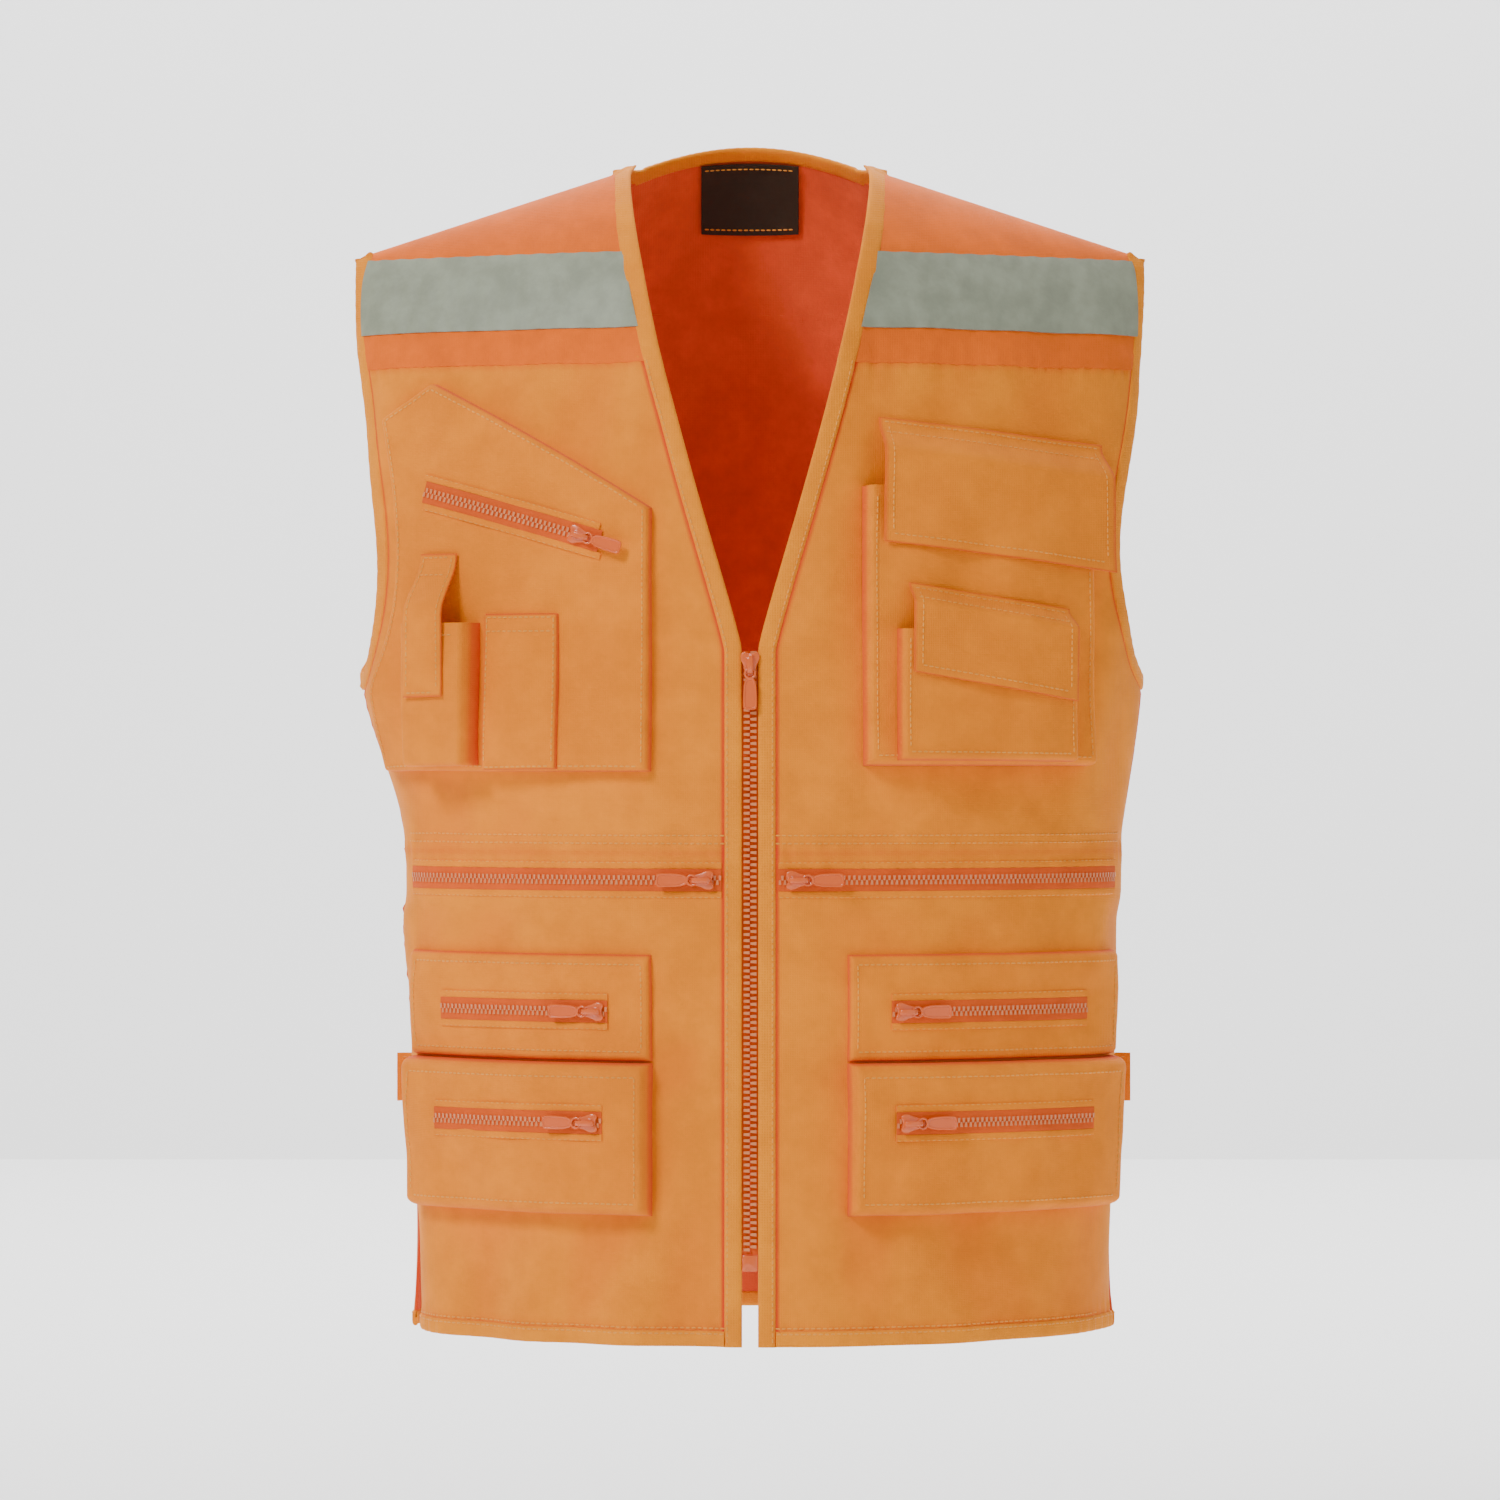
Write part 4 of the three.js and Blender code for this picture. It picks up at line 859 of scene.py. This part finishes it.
def pocket(
    name, body, node, corners, low, high, radius, open_top=False, wander=0.5, seed=40, slack=0.0, top_rise=0.0,
):
    """A pocket from its corners, with round edges; returns the object and a way to place stitches on it."""
    probe = lay(*spot(np.array([0.0, 1.0, 0.5, 0.5]), np.array([0.5, 0.5, 0.0, 1.0]), *corners), 0)
    wide, tall = np.linalg.norm(probe[1] - probe[0]), np.linalg.norm(probe[3] - probe[2])
    columns, rows = int(wide / POCKET_GRID) + 8, int(tall / POCKET_GRID) + 8
    across = smooth_ends(columns)
    down = smooth_ends(rows)
    u, v = np.meshgrid(across, down)

    def height(u, v):
        edges = rim(np.minimum(u, 1 - u) * wide, radius) * rim((1 - v) * tall, radius)
        if not open_top:
            edges = edges * lerp(top_rise, 1, rim(v * tall, radius))
        turn, z = spot(u, v, *corners)
        length = arc_length(turn, z)
        soft = wander * noise(length / 9, z / 12, seed) * np.clip(edges, 0, 1)
        belly = slack * np.sin(math.pi * u) * np.sin(math.pi * np.clip(v, 0, 1)) ** 0.6
        return low + (high - low + soft + belly) * edges

    turn, z = spot(u, v, *corners)
    tall_here = height(u, v)
    outer = lay(turn, z, tall_here)
    if open_top:
        squeeze = POCKET_CLOTH / wide
        inside_turn, inside_z = spot(lerp(squeeze, 1 - squeeze, u), v * (1 - POCKET_CLOTH / tall), *corners)
        inner = lay(inside_turn, inside_z, np.maximum(tall_here - POCKET_CLOTH, low - 0.1))
    else:
        inner = lay(turn, z, low - 0.4)
    # painted shade along the base of the pocket's turned rim
    from_rim = np.minimum(np.minimum(u, 1 - u) * wide, (1 - v) * tall if open_top else np.minimum(v, 1 - v) * tall)
    shade = 0.75 * (1 - smooth(from_rim, 0.2, 1.3))
    made = shell(name, outer, inner, "pocket_cloth", None, shade)
    finish_piece(made, body, "pocket_cloth", node)

    def line(points_u, points_v, lift=0.25):
        points_u, points_v = np.broadcast_arrays(np.asarray(points_u, float), np.asarray(points_v, float))
        at_turn, at_z = spot(points_u, points_v, *corners)
        return lay(at_turn, at_z, height(points_u, points_v) + lift), outward(at_turn, at_z)

    return made, outer, line, wide, tall


def frame_stitches(body, line, wide, tall, inset, sides="ltrb", steps=70):
    """Stitches a little inside a pocket's edges."""
    du, dv = inset / wide, inset / tall
    along = np.linspace(du, 1 - du, steps)
    down = np.linspace(dv, 1 - dv, steps)
    if "t" in sides:
        stitch(body, *line(along, dv))
    if "b" in sides:
        stitch(body, *line(along, 1 - dv))
    if "l" in sides:
        stitch(body, *line(du, down))
    if "r" in sides:
        stitch(body, *line(1 - du, down))


# kind, top, bottom, height off the vest, radius of the edge, wander of the face
LOWER_POCKETS = (
    ("flat", FLAT_TOP_Z, FLAT_BOTTOM_Z, 5.8, 4.0, 0.3),
    ("bellows", BELLOWS_TOP_Z, BELLOWS_BOTTOM_Z, 14.8, 6.0, 0.9),
)
for name, side in SIDES:
    for kind, top, bottom, high, radius, wander in LOWER_POCKETS:
        corners = (side * POCKET_NEAR_X, side_x(side, SIDE_INSET), top, bottom)
        made, grid, line, wide, tall = pocket(
            f"{kind}_pocket_cloth_{name}", name + "_front", f"{kind}_pocket_{name}", corners, LOW, high, radius,
            wander=wander, seed=41 + side, slack=0.4, top_rise=0.45 if kind == "bellows" else 0.0,
        )
        frame_stitches(name + "_front", line, wide, tall, radius + 1.5)

def chest_top(u):
    peak = 0.2
    beside = lerp(YOKE_Z - 31, YOKE_Z - 11, u / peak)
    slanted = lerp(YOKE_Z - 11, YOKE_Z - 84, (u - peak) / (1 - peak))
    return np.where(u < peak, beside, slanted)


corners = (lambda z: -(armhole_seam(z) - CHEST_INSET), -POCKET_NEAR_X, chest_top, CHEST_BOTTOM_Z)
made, grid, line, wide, tall = pocket(
    "chest_pocket_cloth_right", "right_front", "chest_pocket_right", corners, 0.3, 8.2, 3.5, wander=0.5, seed=45,
)
frame_stitches("right_front", line, wide, tall, 4.2)
corners = (-186, -149, NECK_Z + 16, CHEST_BOTTOM_Z + 5)
made, grid, line, wide, tall = pocket(
    "phone_pocket_cloth", "right_front", "phone_pocket", corners, 8.3, 25.0, 4.5, open_top=True, wander=0.9, seed=46,
)
declare_sheet(grid)
frame_stitches("right_front", line, wide, tall, 7.0, "t")
corners = (-146, -105, NECK_Z + 21, CHEST_BOTTOM_Z + 2)
made, grid, line, wide, tall = pocket(
    "pen_pocket_cloth", "right_front", "pen_pocket", corners, 8.3, 11.6, 1.8, wander=0.5, seed=47,
)
frame_stitches("right_front", line, wide, tall, 2.2)
stitch("right_front", *line(np.linspace(0.04, 0.96, 30), 10 / tall))

corners = (63, lambda z: np.minimum(191, armhole_seam(z) - CHEST_INSET), YOKE_Z - 72, CHEST_BOTTOM_Z + 3)
made, grid, line, wide, tall = pocket(
    "chest_pocket_cloth_left", "left_front", "chest_pocket_left", corners, 0.5, 13.6, 4.5,
    open_top=True, wander=0.8, seed=48,
)
declare_sheet(grid)
frame_stitches("left_front", line, wide, tall, 6.0, "lrb")
corners = (79, 175, NECK_Z + 12, CHEST_BOTTOM_Z + 6)
made, grid, line, wide, tall = pocket(
    "small_pocket_cloth", "left_front", "small_pocket", corners, 14.0, 23.8, 3.5, open_top=True, wander=0.8, seed=49,
)
declare_sheet(grid)
frame_stitches("left_front", line, wide, tall, 5.0, "lrb")
print("pockets made")


# %% Flaps and the strap
FLAP_ROWS = 70


def flap(name, corners, low, thickness, climb_end, climb, wave, seed, columns):
    """A doubled piece of cloth sewn at its top, that climbs over the pocket under it and hangs."""
    u, v = np.meshgrid(smooth_ends(columns), smooth_ends(FLAP_ROWS))
    turn, z = spot(u, v, *corners)

    def height(u, v):
        at_turn, at_z = spot(u, v, *corners)
        soft = wave * noise(arc_length(at_turn, at_z) / 10, at_z / 14, seed) * smooth(v, 0.1, 0.6)
        return low + climb * smooth(v, 0.02, climb_end) + soft

    edge = np.minimum(np.minimum(u, 1 - u) * 40, np.minimum(v, 1 - v) * 40)
    round_edge = (1 - rim(edge, 1.0)) * thickness * 0.35
    outer = lay(turn, z, height(u, v) + thickness - round_edge)
    inner = lay(turn, z, height(u, v) + round_edge)
    # painted shade along the flap's rim
    made = shell(name + "_cloth", outer, inner, "pocket_cloth", None, 0.6 * (1 - smooth(edge, 0.0, 0.9)))
    finish_piece(made, name, "pocket_cloth", name)
    declare_sheet(outer)

    def line(points_u, points_v, lift=0.2):
        points_u, points_v = np.broadcast_arrays(np.asarray(points_u, float), np.asarray(points_v, float))
        at_turn, at_z = spot(points_u, points_v, *corners)
        return lay(at_turn, at_z, height(points_u, points_v) + thickness + lift), outward(at_turn, at_z)

    return line


corners = (
    72, lambda z: np.minimum(199, armhole_seam(z) - 6),
    lambda u: YOKE_Z - lerp(33, 46, u), lambda u: YOKE_Z - lerp(103, 119, u),
)
line = flap("chest_flap", corners, CHEST_LOW, 1.8, 0.3, 12.8, 0.9, 51, 60)
frame_stitches("chest_flap", line, 127, 72, 5.0, "lrb")
for drop in (2.5, 9.0):
    stitch("chest_flap", *line(np.linspace(0.02, 0.98, 60), drop / 72))
corners = (85, 172, lambda u: NECK_Z + lerp(38, 24, u), lambda u: NECK_Z - lerp(12, 28, u))
line = flap("small_flap", corners, SMALL_LOW, 1.8, 0.22, 9.8, 0.7, 52, 44)
frame_stitches("small_flap", line, 87, 51, 4.5, "lrb")
for drop in (2.5, 8.0):
    stitch("small_flap", *line(np.linspace(0.03, 0.97, 40), drop / 51))
corners = (-180, -160, NECK_Z + 55, NECK_Z - 24)
line = flap("phone_strap", corners, PHONE_LOW, 2.0, 0.44, 16.8, 0.3, 53, 16)
frame_stitches("phone_strap", line, 20, 79, 2.2, "lrtb")
stitch("phone_strap", *line(np.linspace(0.1, 0.9, 8), 12 / 79))
print("flaps made")

# %% [markdown]
# ## Zips
# Each zip is two dark tapes with a row of moulded teeth along their inner edges, seen in a window between
# two folded lips of cloth. The teeth are real bodies, set in turn on either side, since at this size they
# catch the light one by one. The sliders are painted metal with a hollow pull.

# %% Painted metal and teeth
def painted(name, tone, rough=0.26):
    material = bpy.data.materials.new(name)
    material.use_nodes = True
    shader = material.node_tree.nodes["Principled BSDF"]
    shader.inputs["Base Color"].default_value = tone
    shader.inputs["Roughness"].default_value = rough
    shader.inputs["Coat Weight"].default_value = 0.6
    shader.inputs["Coat Roughness"].default_value = 0.12
    return material


FINISH["hardware"] = painted("Painted zip metal", srgb(232, 100, 34))
FINISH["teeth"] = painted("Moulded teeth", srgb(224, 132, 76), 0.42)


def merge(pieces):
    """Several (points, faces) as one."""
    points = []
    faces = []
    count = 0
    for more_points, more_faces in pieces:
        points.append(np.asarray(more_points, float))
        faces += [tuple(count + corner for corner in face) for face in more_faces]
        count += len(more_points)
    return np.concatenate(points), faces


CUBE = np.array([(x, y, z) for x in (-1, 1) for y in (-1, 1) for z in (-1, 1)], float)
CUBE_FACES = [(0, 1, 3, 2), (4, 6, 7, 5), (0, 4, 5, 1), (2, 3, 7, 6), (0, 2, 6, 4), (1, 5, 7, 3)]
TOOTH = (1.35, 0.75, 0.55)


def teeth(line, normals, pitch, offset, size=TOOTH, stagger=True):
    """A row of teeth along a line, set in turn on its two sides."""
    steps = np.linalg.norm(np.diff(line, axis=0), axis=1)
    travelled = np.concatenate([[0], np.cumsum(steps)])
    tangent = np.gradient(line, axis=0)
    tangent /= np.linalg.norm(tangent, axis=1, keepdims=True)
    pieces = []
    for number in range(int(travelled[-1] / pitch * (2 if stagger else 1))):
        length = (number + 0.5) * pitch / (2 if stagger else 1)
        at, out, along = (
            np.array([np.interp(length, travelled, values[:, axis]) for axis in range(3)])
            for values in (line, normals, tangent)
        )
        across = np.cross(out, along)
        way = (1 if number % 2 else -1) if stagger else 1
        taper = np.where(CUBE[:, :1] * way < 0, 0.7, 1.0)
        local = CUBE * np.array(size) * np.concatenate([np.ones_like(taper), taper, taper], 1)
        centre = at + across * way * offset
        pieces.append((centre + local[:, :1] * across + local[:, 1:2] * along + local[:, 2:] * out, CUBE_FACES))
    return merge(pieces)


TAPE_OUTLINE = rounded_outline(6.3, -0.35, 0.35, 12)
LIP_OFFSET = 8.2
LIP_STITCH_OFFSET = 9.6
LIP_OUTLINE = rounded_outline(2.0, -0.9, 0.75, 12)


def pocket_zip(name, near, far, height_of, pad):
    """One pocket zip: tape, teeth, and the two lips of its window."""
    body = name.rsplit("_", 1)[1] + "_front"
    x = np.linspace(near, far, 90)
    z = height_of(x)
    turn = turn_at(x, z)
    normals = outward(turn, z)
    tape_line = lay(turn, z, pad + 1.1)
    tape = sweep(name + "_tape", tape_line, normals, TAPE_OUTLINE, "zip_tape", depth=0.2)
    finish_piece(tape, body, "zip_tape", name)
    points, faces = teeth(lay(turn, z, pad + 1.75), normals, 2.9, 1.25)
    finish_piece(make_object(name + "_teeth", points, faces, ["teeth"]), body, "zip_tape", name)
    for label, way in (("upper", 1), ("lower", -1)):
        lip_z = z + way * LIP_OFFSET
        lip_turn = turn_at(x, lip_z)
        lip_line = lay(lip_turn, lip_z, pad + 0.7)
        lip = sweep(f"{name}_{label}_lip", lip_line, outward(lip_turn, lip_z), LIP_OUTLINE, "pocket_cloth")
        finish_piece(lip, body, "zip_tape", name)
        stitch_z = z + way * LIP_STITCH_OFFSET
        stitch_turn = turn_at(x, stitch_z)
        stitch(body, lay(stitch_turn, stitch_z, pad + 1.1), outward(stitch_turn, stitch_z))


for name, side in SIDES:
    far = lambda z, inset: side * (half_width(z) - inset) + shift(z)
    level = lambda z: lambda x: np.full_like(x, float(z))
    pocket_zip("waist_zip_" + name, side * 16, far(WAIST_ZIP_Z, 6), level(WAIST_ZIP_Z), -0.6)
    flat_z, bellows_z = ZIP_LINES[1], ZIP_LINES[2]
    pocket_zip("flat_zip_" + name, side * 78, far(flat_z, 26), level(flat_z), 5.8)
    pocket_zip("bellows_zip_" + name, side * 78, far(bellows_z, 26), level(bellows_z), 14.8)
CHEST_ZIP_SLOPE = 29 / 97
chest_zip_z = lambda x: YOKE_Z - 74 - CHEST_ZIP_SLOPE * (x + 179)
pocket_zip("chest_zip_right", -179, -82, chest_zip_z, 8.2)

for name, side in SIDES:
    z = steps_between(NECK_Z - 0.5, ZIP_END_Z, 6)
    turn = turn_at(np.full_like(z, side * 2.1), z)
    tape = sweep(
        "main_zip_tape_" + name, lay(turn_at(np.full_like(z, side * 4.2), z), z, -1.7), outward(turn, z),
        rounded_outline(3.9, -0.35, 0.35, 12), "zip_tape", depth=0.2,
    )
    finish_piece(tape, name + "_front", "zip_tape", "main_zip_" + name)
    line = lay(turn_at(np.full_like(z, side * 1.9), z), z, -0.3) + np.array([0, 0, side * 0.85])
    points, faces = teeth(line, outward(turn, z), 3.4, 0, (1.7, 0.95, 0.8), stagger=False)
    made = make_object("main_zip_teeth_" + name, points, faces, ["teeth"])
    finish_piece(made, name + "_front", "zip_tape", "main_zip_" + name)
print("zips made")


# %% [markdown]
# ## Sliders and pulls
# A slider is a small cast body with two rounded lobes where the tapes part, and a bridge over it. The
# pull's ring turns round that bridge. Each is built lying flat at the origin, x the way the pull points,
# and then moved to its place on the cloth, so all eight are the same.

# %% Slider and pull shapes
def closed_curve(corners, steps=6):
    """A smooth closed curve through some corners."""
    corners = np.asarray(corners, float)
    before, after, beyond = np.roll(corners, 1, 0), np.roll(corners, -1, 0), np.roll(corners, -2, 0)
    share = np.linspace(0, 1, steps, endpoint=False)[None, :, None]
    a, b, c, d = (part[:, None] for part in (before, corners, after, beyond))
    square, cube = 2 * a - 5 * b + 4 * c - d, 3 * b - a - 3 * c + d
    curve = 0.5 * (2 * b + (c - a) * share + square * share ** 2 + cube * share ** 3)
    return curve.reshape(-1, 2)


def stack(outline, levels):
    """A solid from rings of one outline: each level is (inset, height)."""
    outline = np.asarray(outline, float)
    middle = (outline.max(0) + outline.min(0)) / 2
    half = (outline.max(0) - outline.min(0)) / 2
    points = []
    faces = []
    count = len(outline)
    for inset, height in levels:
        ring = middle + (outline - middle) * (1 - inset / half)
        points += [(x, y, height) for x, y in ring]
    for level in range(len(levels) - 1):
        for corner in range(count):
            after = (corner + 1) % count
            low = level * count
            faces.append((low + corner, low + after, low + count + after, low + count + corner))
    faces.append(tuple(range(count - 1, -1, -1)))
    faces.append(tuple((len(levels) - 1) * count + corner for corner in range(count)))
    return np.array(points), faces


def tube(line, normal, outline, closed=False):
    """A swept bar with a constant across direction."""
    line = np.asarray(line, float)
    tangent = (np.roll(line, -1, 0) - np.roll(line, 1, 0)) if closed else np.gradient(line, axis=0)
    tangent /= np.linalg.norm(tangent, axis=1, keepdims=True)
    across = np.broadcast_to(np.asarray(normal, float), line.shape)
    out = np.cross(across, tangent)
    points = line[:, None] + across[:, None] * outline[:, :1] + out[:, None] * outline[:, 1:]
    sides, stations = len(outline), len(line)
    faces = []
    for station in range(stations if closed else stations - 1):
        after = (station + 1) % stations
        for side in range(sides):
            other = (side + 1) % sides
            low, high = station * sides, after * sides
            faces.append((low + side, low + other, high + other, high + side))
    if not closed:
        faces.append(tuple(range(sides - 1, -1, -1)))
        faces.append(tuple((stations - 1) * sides + side for side in range(sides)))
    return points.reshape(-1, 3), faces


SLIDER_HALF = (
    (7.0, 1.5), (6.3, 2.7), (3.2, 3.2), (0.2, 4.0), (-2.4, 5.1), (-4.6, 5.4), (-6.5, 4.6), (-7.0, 3.0), (-6.2, 1.2),
)
SLIDER_OUTLINE = closed_curve([*SLIDER_HALF, *((x, -y) for x, y in reversed(SLIDER_HALF))])
BRIDGE_LINE = (
    (-5.0, 1.2), (-5.2, 2.6), (-4.4, 3.8), (-2.4, 4.25), (0, 4.3), (2.4, 4.25), (4.4, 3.8), (5.2, 2.6), (5.0, 1.2),
)
BRIDGE_OUTLINE = rounded_outline(1.5, -0.5, 0.5, 10)


def slider_shape():
    body = stack(SLIDER_OUTLINE, [(0.5, 0.0), (0.1, 0.25), (0.0, 0.8), (0.2, 1.3), (0.8, 1.6)])
    ridge_line = stack(SLIDER_OUTLINE * (0.62, 0.5), [(0.0, 1.4), (0.1, 1.6), (0.7, 1.75)])
    arch = tube([(x, 0, z) for x, z in BRIDGE_LINE], (0, 1, 0), BRIDGE_OUTLINE)
    return merge([body, ridge_line, arch])


BLADE_HALF = ((5.2, 1.6), (6.4, 2.7), (8.6, 3.4), (13.0, 3.8), (19.0, 3.9), (21.6, 3.7), (22.7, 2.6), (22.9, 0.8))
BLADE_OUTLINE = closed_curve([*BLADE_HALF, *((x, -y) for x, y in reversed(BLADE_HALF))])
RING_CENTRE_X = 2.6
RING_REACH_X = 2.65
RING_REACH_Y = 2.85
RING_SIDES = 28


def pull_shape():
    blade = stack(
        BLADE_OUTLINE,
        [(0.9, -0.35), (0.75, -0.55), (0.2, -0.45), (0.0, 0.0), (0.2, 0.45), (0.75, 0.55), (1.0, 0.5), (1.2, 0.15)],
    )
    angles = np.linspace(0, 2 * math.pi, RING_SIDES, endpoint=False)
    ring_line = np.stack(
        [RING_CENTRE_X + RING_REACH_X * np.cos(angles), RING_REACH_Y * np.sin(angles), 0 * angles], -1
    )
    ring = tube(ring_line, (0, 0, 1), rounded_outline(0.55, -0.6, 0.6, 10), closed=True)
    return merge([blade, ring])


BAR_PLACE = (2.6, 0.0, 2.6)
SLIDER_SHAPE, PULL_SHAPE = slider_shape(), pull_shape()


def fit(name, origin, along, out):
    """Put a slider and its pull at a place, lying along the zip."""
    along = along - out * np.dot(along, out)
    along /= np.linalg.norm(along)
    basis = np.stack([along, np.cross(out, along), out])
    for kind, (points, faces), place in (("slider", SLIDER_SHAPE, (0, 0, 0)), ("pull", PULL_SHAPE, BAR_PLACE)):
        made = make_object(f"{name}_{kind}_metal", (points + np.array(place)) @ basis + origin, faces, ["hardware"])
        finish_piece(made, f"{name}_{kind}", "zip_hardware", f"{name}_{kind}")


def fit_on_cloth(name, x, z, height, way, slope=0.0):
    turn, z = float(turn_at(np.float64(x), np.float64(z))), float(z)
    out = outward(turn, z)
    along = way * np.array([math.cos(turn), math.sin(turn), 0]) + np.array([0, 0, -way * slope])
    fit(name, surface(turn, z) + out * height, along, out)


main_place = np.array([0, -HALF_DEPTH - 1.2, NECK_Z - 8.0])
fit("main", main_place, np.array([0, 0, -1.0]), np.array([0.0, -1.0, 0.0]))
for name, side in SIDES:
    fit_on_cloth("waist_" + name, side * 27, WAIST_ZIP_Z, 2.5, side)
    fit_on_cloth("flat_" + name, side * 86, ZIP_LINES[1], 8.3, side)
    fit_on_cloth("bellows_" + name, side * 86, ZIP_LINES[2], 17.3, side)
fit_on_cloth("chest", -92, chest_zip_z(-92), 10.7, 1, CHEST_ZIP_SLOPE)

# the box that holds the lower end of the main zip
corners = closed_curve([(4, 4.3), (4.2, 0), (4, -4.3), (0, -4.4), (-4, -4.3), (-4.2, 0), (-4, 4.3), (0, 4.4)])
points, faces = stack(corners, [(0.4, -1.0), (0.0, -0.6), (0.0, 0.5), (0.5, 0.9)])
points = np.stack([points[:, 0], -HALF_DEPTH + 0.6 - points[:, 2], ZIP_END_Z - 4.9 + points[:, 1]], -1)
finish_piece(make_object("zip_box_metal", points, faces, ["hardware"]), "left_front", "zip_hardware", "zip_box")

# %% [markdown]
# ## Label and side tabs
# The label is a dark woven patch sewn inside the back below the binding, left blank. A folded loop of
# binding stands out of each side seam.

# %% Label and tabs
u, v = np.meshgrid(np.linspace(0, 1, 40), np.linspace(0, 1, 30))
label_x = lerp(-30, 30, u)
label_top = back_neck_over(label_x) + BINDING / HALF_DEPTH * (1 - (label_x / 80) ** 2) + 0.5 / HALF_DEPTH
label_z = dome_height(label_x, label_top + v * 46 / HALF_DEPTH, BACK_DOME)
label_turn = turn_at(label_x, label_z, True)
face = lay(label_turn, label_z, -2.9, 0.3)
made = shell("neck_label_cloth", face, lay(label_turn, label_z, -3.7, 0.3), "label")
finish_piece(made, "back", "label", "neck_label")
declare_sheet(face)
for row in (2, -3):
    row_turn, row_z = label_turn[row, 1:-1], label_z[row, 1:-1]
    stitch("back", lay(row_turn, row_z, -3.9, 0.3), -outward(row_turn, row_z))

TAB_Z = FLAT_BOTTOM_Z - 15
for name, side in SIDES:
    start = side * (half_width(np.float64(TAB_Z)) - 1.5) + shift(np.float64(TAB_Z))
    reach = np.linspace(0, 10.5, 12)
    line = np.stack([start + side * reach, 0.8 * np.sin(reach / 2.4), np.full(12, float(TAB_Z))], -1)
    outline = rounded_outline(14, -0.95, 0.95, 16)
    made = sweep("side_tab_cloth_" + name, line, np.tile([0.0, -1.0, 0.0], (12, 1)), outline, "binding")
    finish_piece(made, "back", "binding", "side_tab_" + name)
    for inset in (-11.5, 11.5):
        points = line[1:] + np.array([0, 0, inset])
        stitch("back", points - np.array([0, 1.05, 0]), np.tile([0.0, -1.0, 0.0], (11, 1)))

# %% Stitches on every body
PANEL_BODIES = ("back", "right_front", "left_front")
for body in stitch_rows:
    make_stitches(body, "body_cloth" if body in PANEL_BODIES else "pocket_cloth")
print("hardware and stitches made")

# %% [markdown]
# ## Light and camera
# The vest hangs upright against white, in soft light from the upper left with a weaker fill, as in a
# catalogue. A long lens from the height of the vest's middle keeps its sides upright.

# %% Stage
def pale_sheet(name, size, place, tilt):
    bpy.ops.mesh.primitive_plane_add(size=size, location=place, rotation=tilt)
    made = bpy.context.object
    made.name = name
    material = bpy.data.materials.new(name)
    material.use_nodes = True
    material.node_tree.nodes["Principled BSDF"].inputs["Base Color"].default_value = (0.92, 0.92, 0.92, 1)
    material.node_tree.nodes["Principled BSDF"].inputs["Roughness"].default_value = 0.9
    made.data.materials.append(material)
    return made


pale_sheet("floor", 14, (0, 0, -0.9), (0, 0, 0))
pale_sheet("backdrop", 14, (0, 4.6, 0), (math.pi / 2, 0, 0))


def soft_light(name, power, size, place, aim):
    lamp = bpy.data.lights.new(name, "AREA")
    lamp.energy = power
    lamp.size = size
    made = bpy.data.objects.new(name, lamp)
    made.location = place
    made.rotation_euler = (mathutils.Vector(aim) - mathutils.Vector(place)).to_track_quat("-Z", "Y").to_euler()
    bpy.context.scene.collection.objects.link(made)


soft_light("key", 66, 0.8, (-1.7, -2.0, 1.6), (0, 0, -0.3))
soft_light("fill", 8, 2.4, (2.2, -2.2, 0.2), (0, 0, -0.35))
soft_light("backdrop_light", 480, 4.0, (0, 2.4, 3.4), (0, 5.0, -0.5))
world = bpy.data.worlds.new("studio")
world.use_nodes = True
world.node_tree.nodes["Background"].inputs["Color"].default_value = (1, 1, 1, 1)
world.node_tree.nodes["Background"].inputs["Strength"].default_value = 0.44
bpy.context.scene.world = world

lens = bpy.data.cameras.new("catalogue")
lens.lens = 137
lens.sensor_width = 36
camera = bpy.data.objects.new("catalogue", lens)
camera.location = (0, -3.322, -0.332)
camera.rotation_euler = (math.pi / 2, 0, 0)
bpy.context.scene.collection.objects.link(camera)
bpy.context.scene.camera = camera
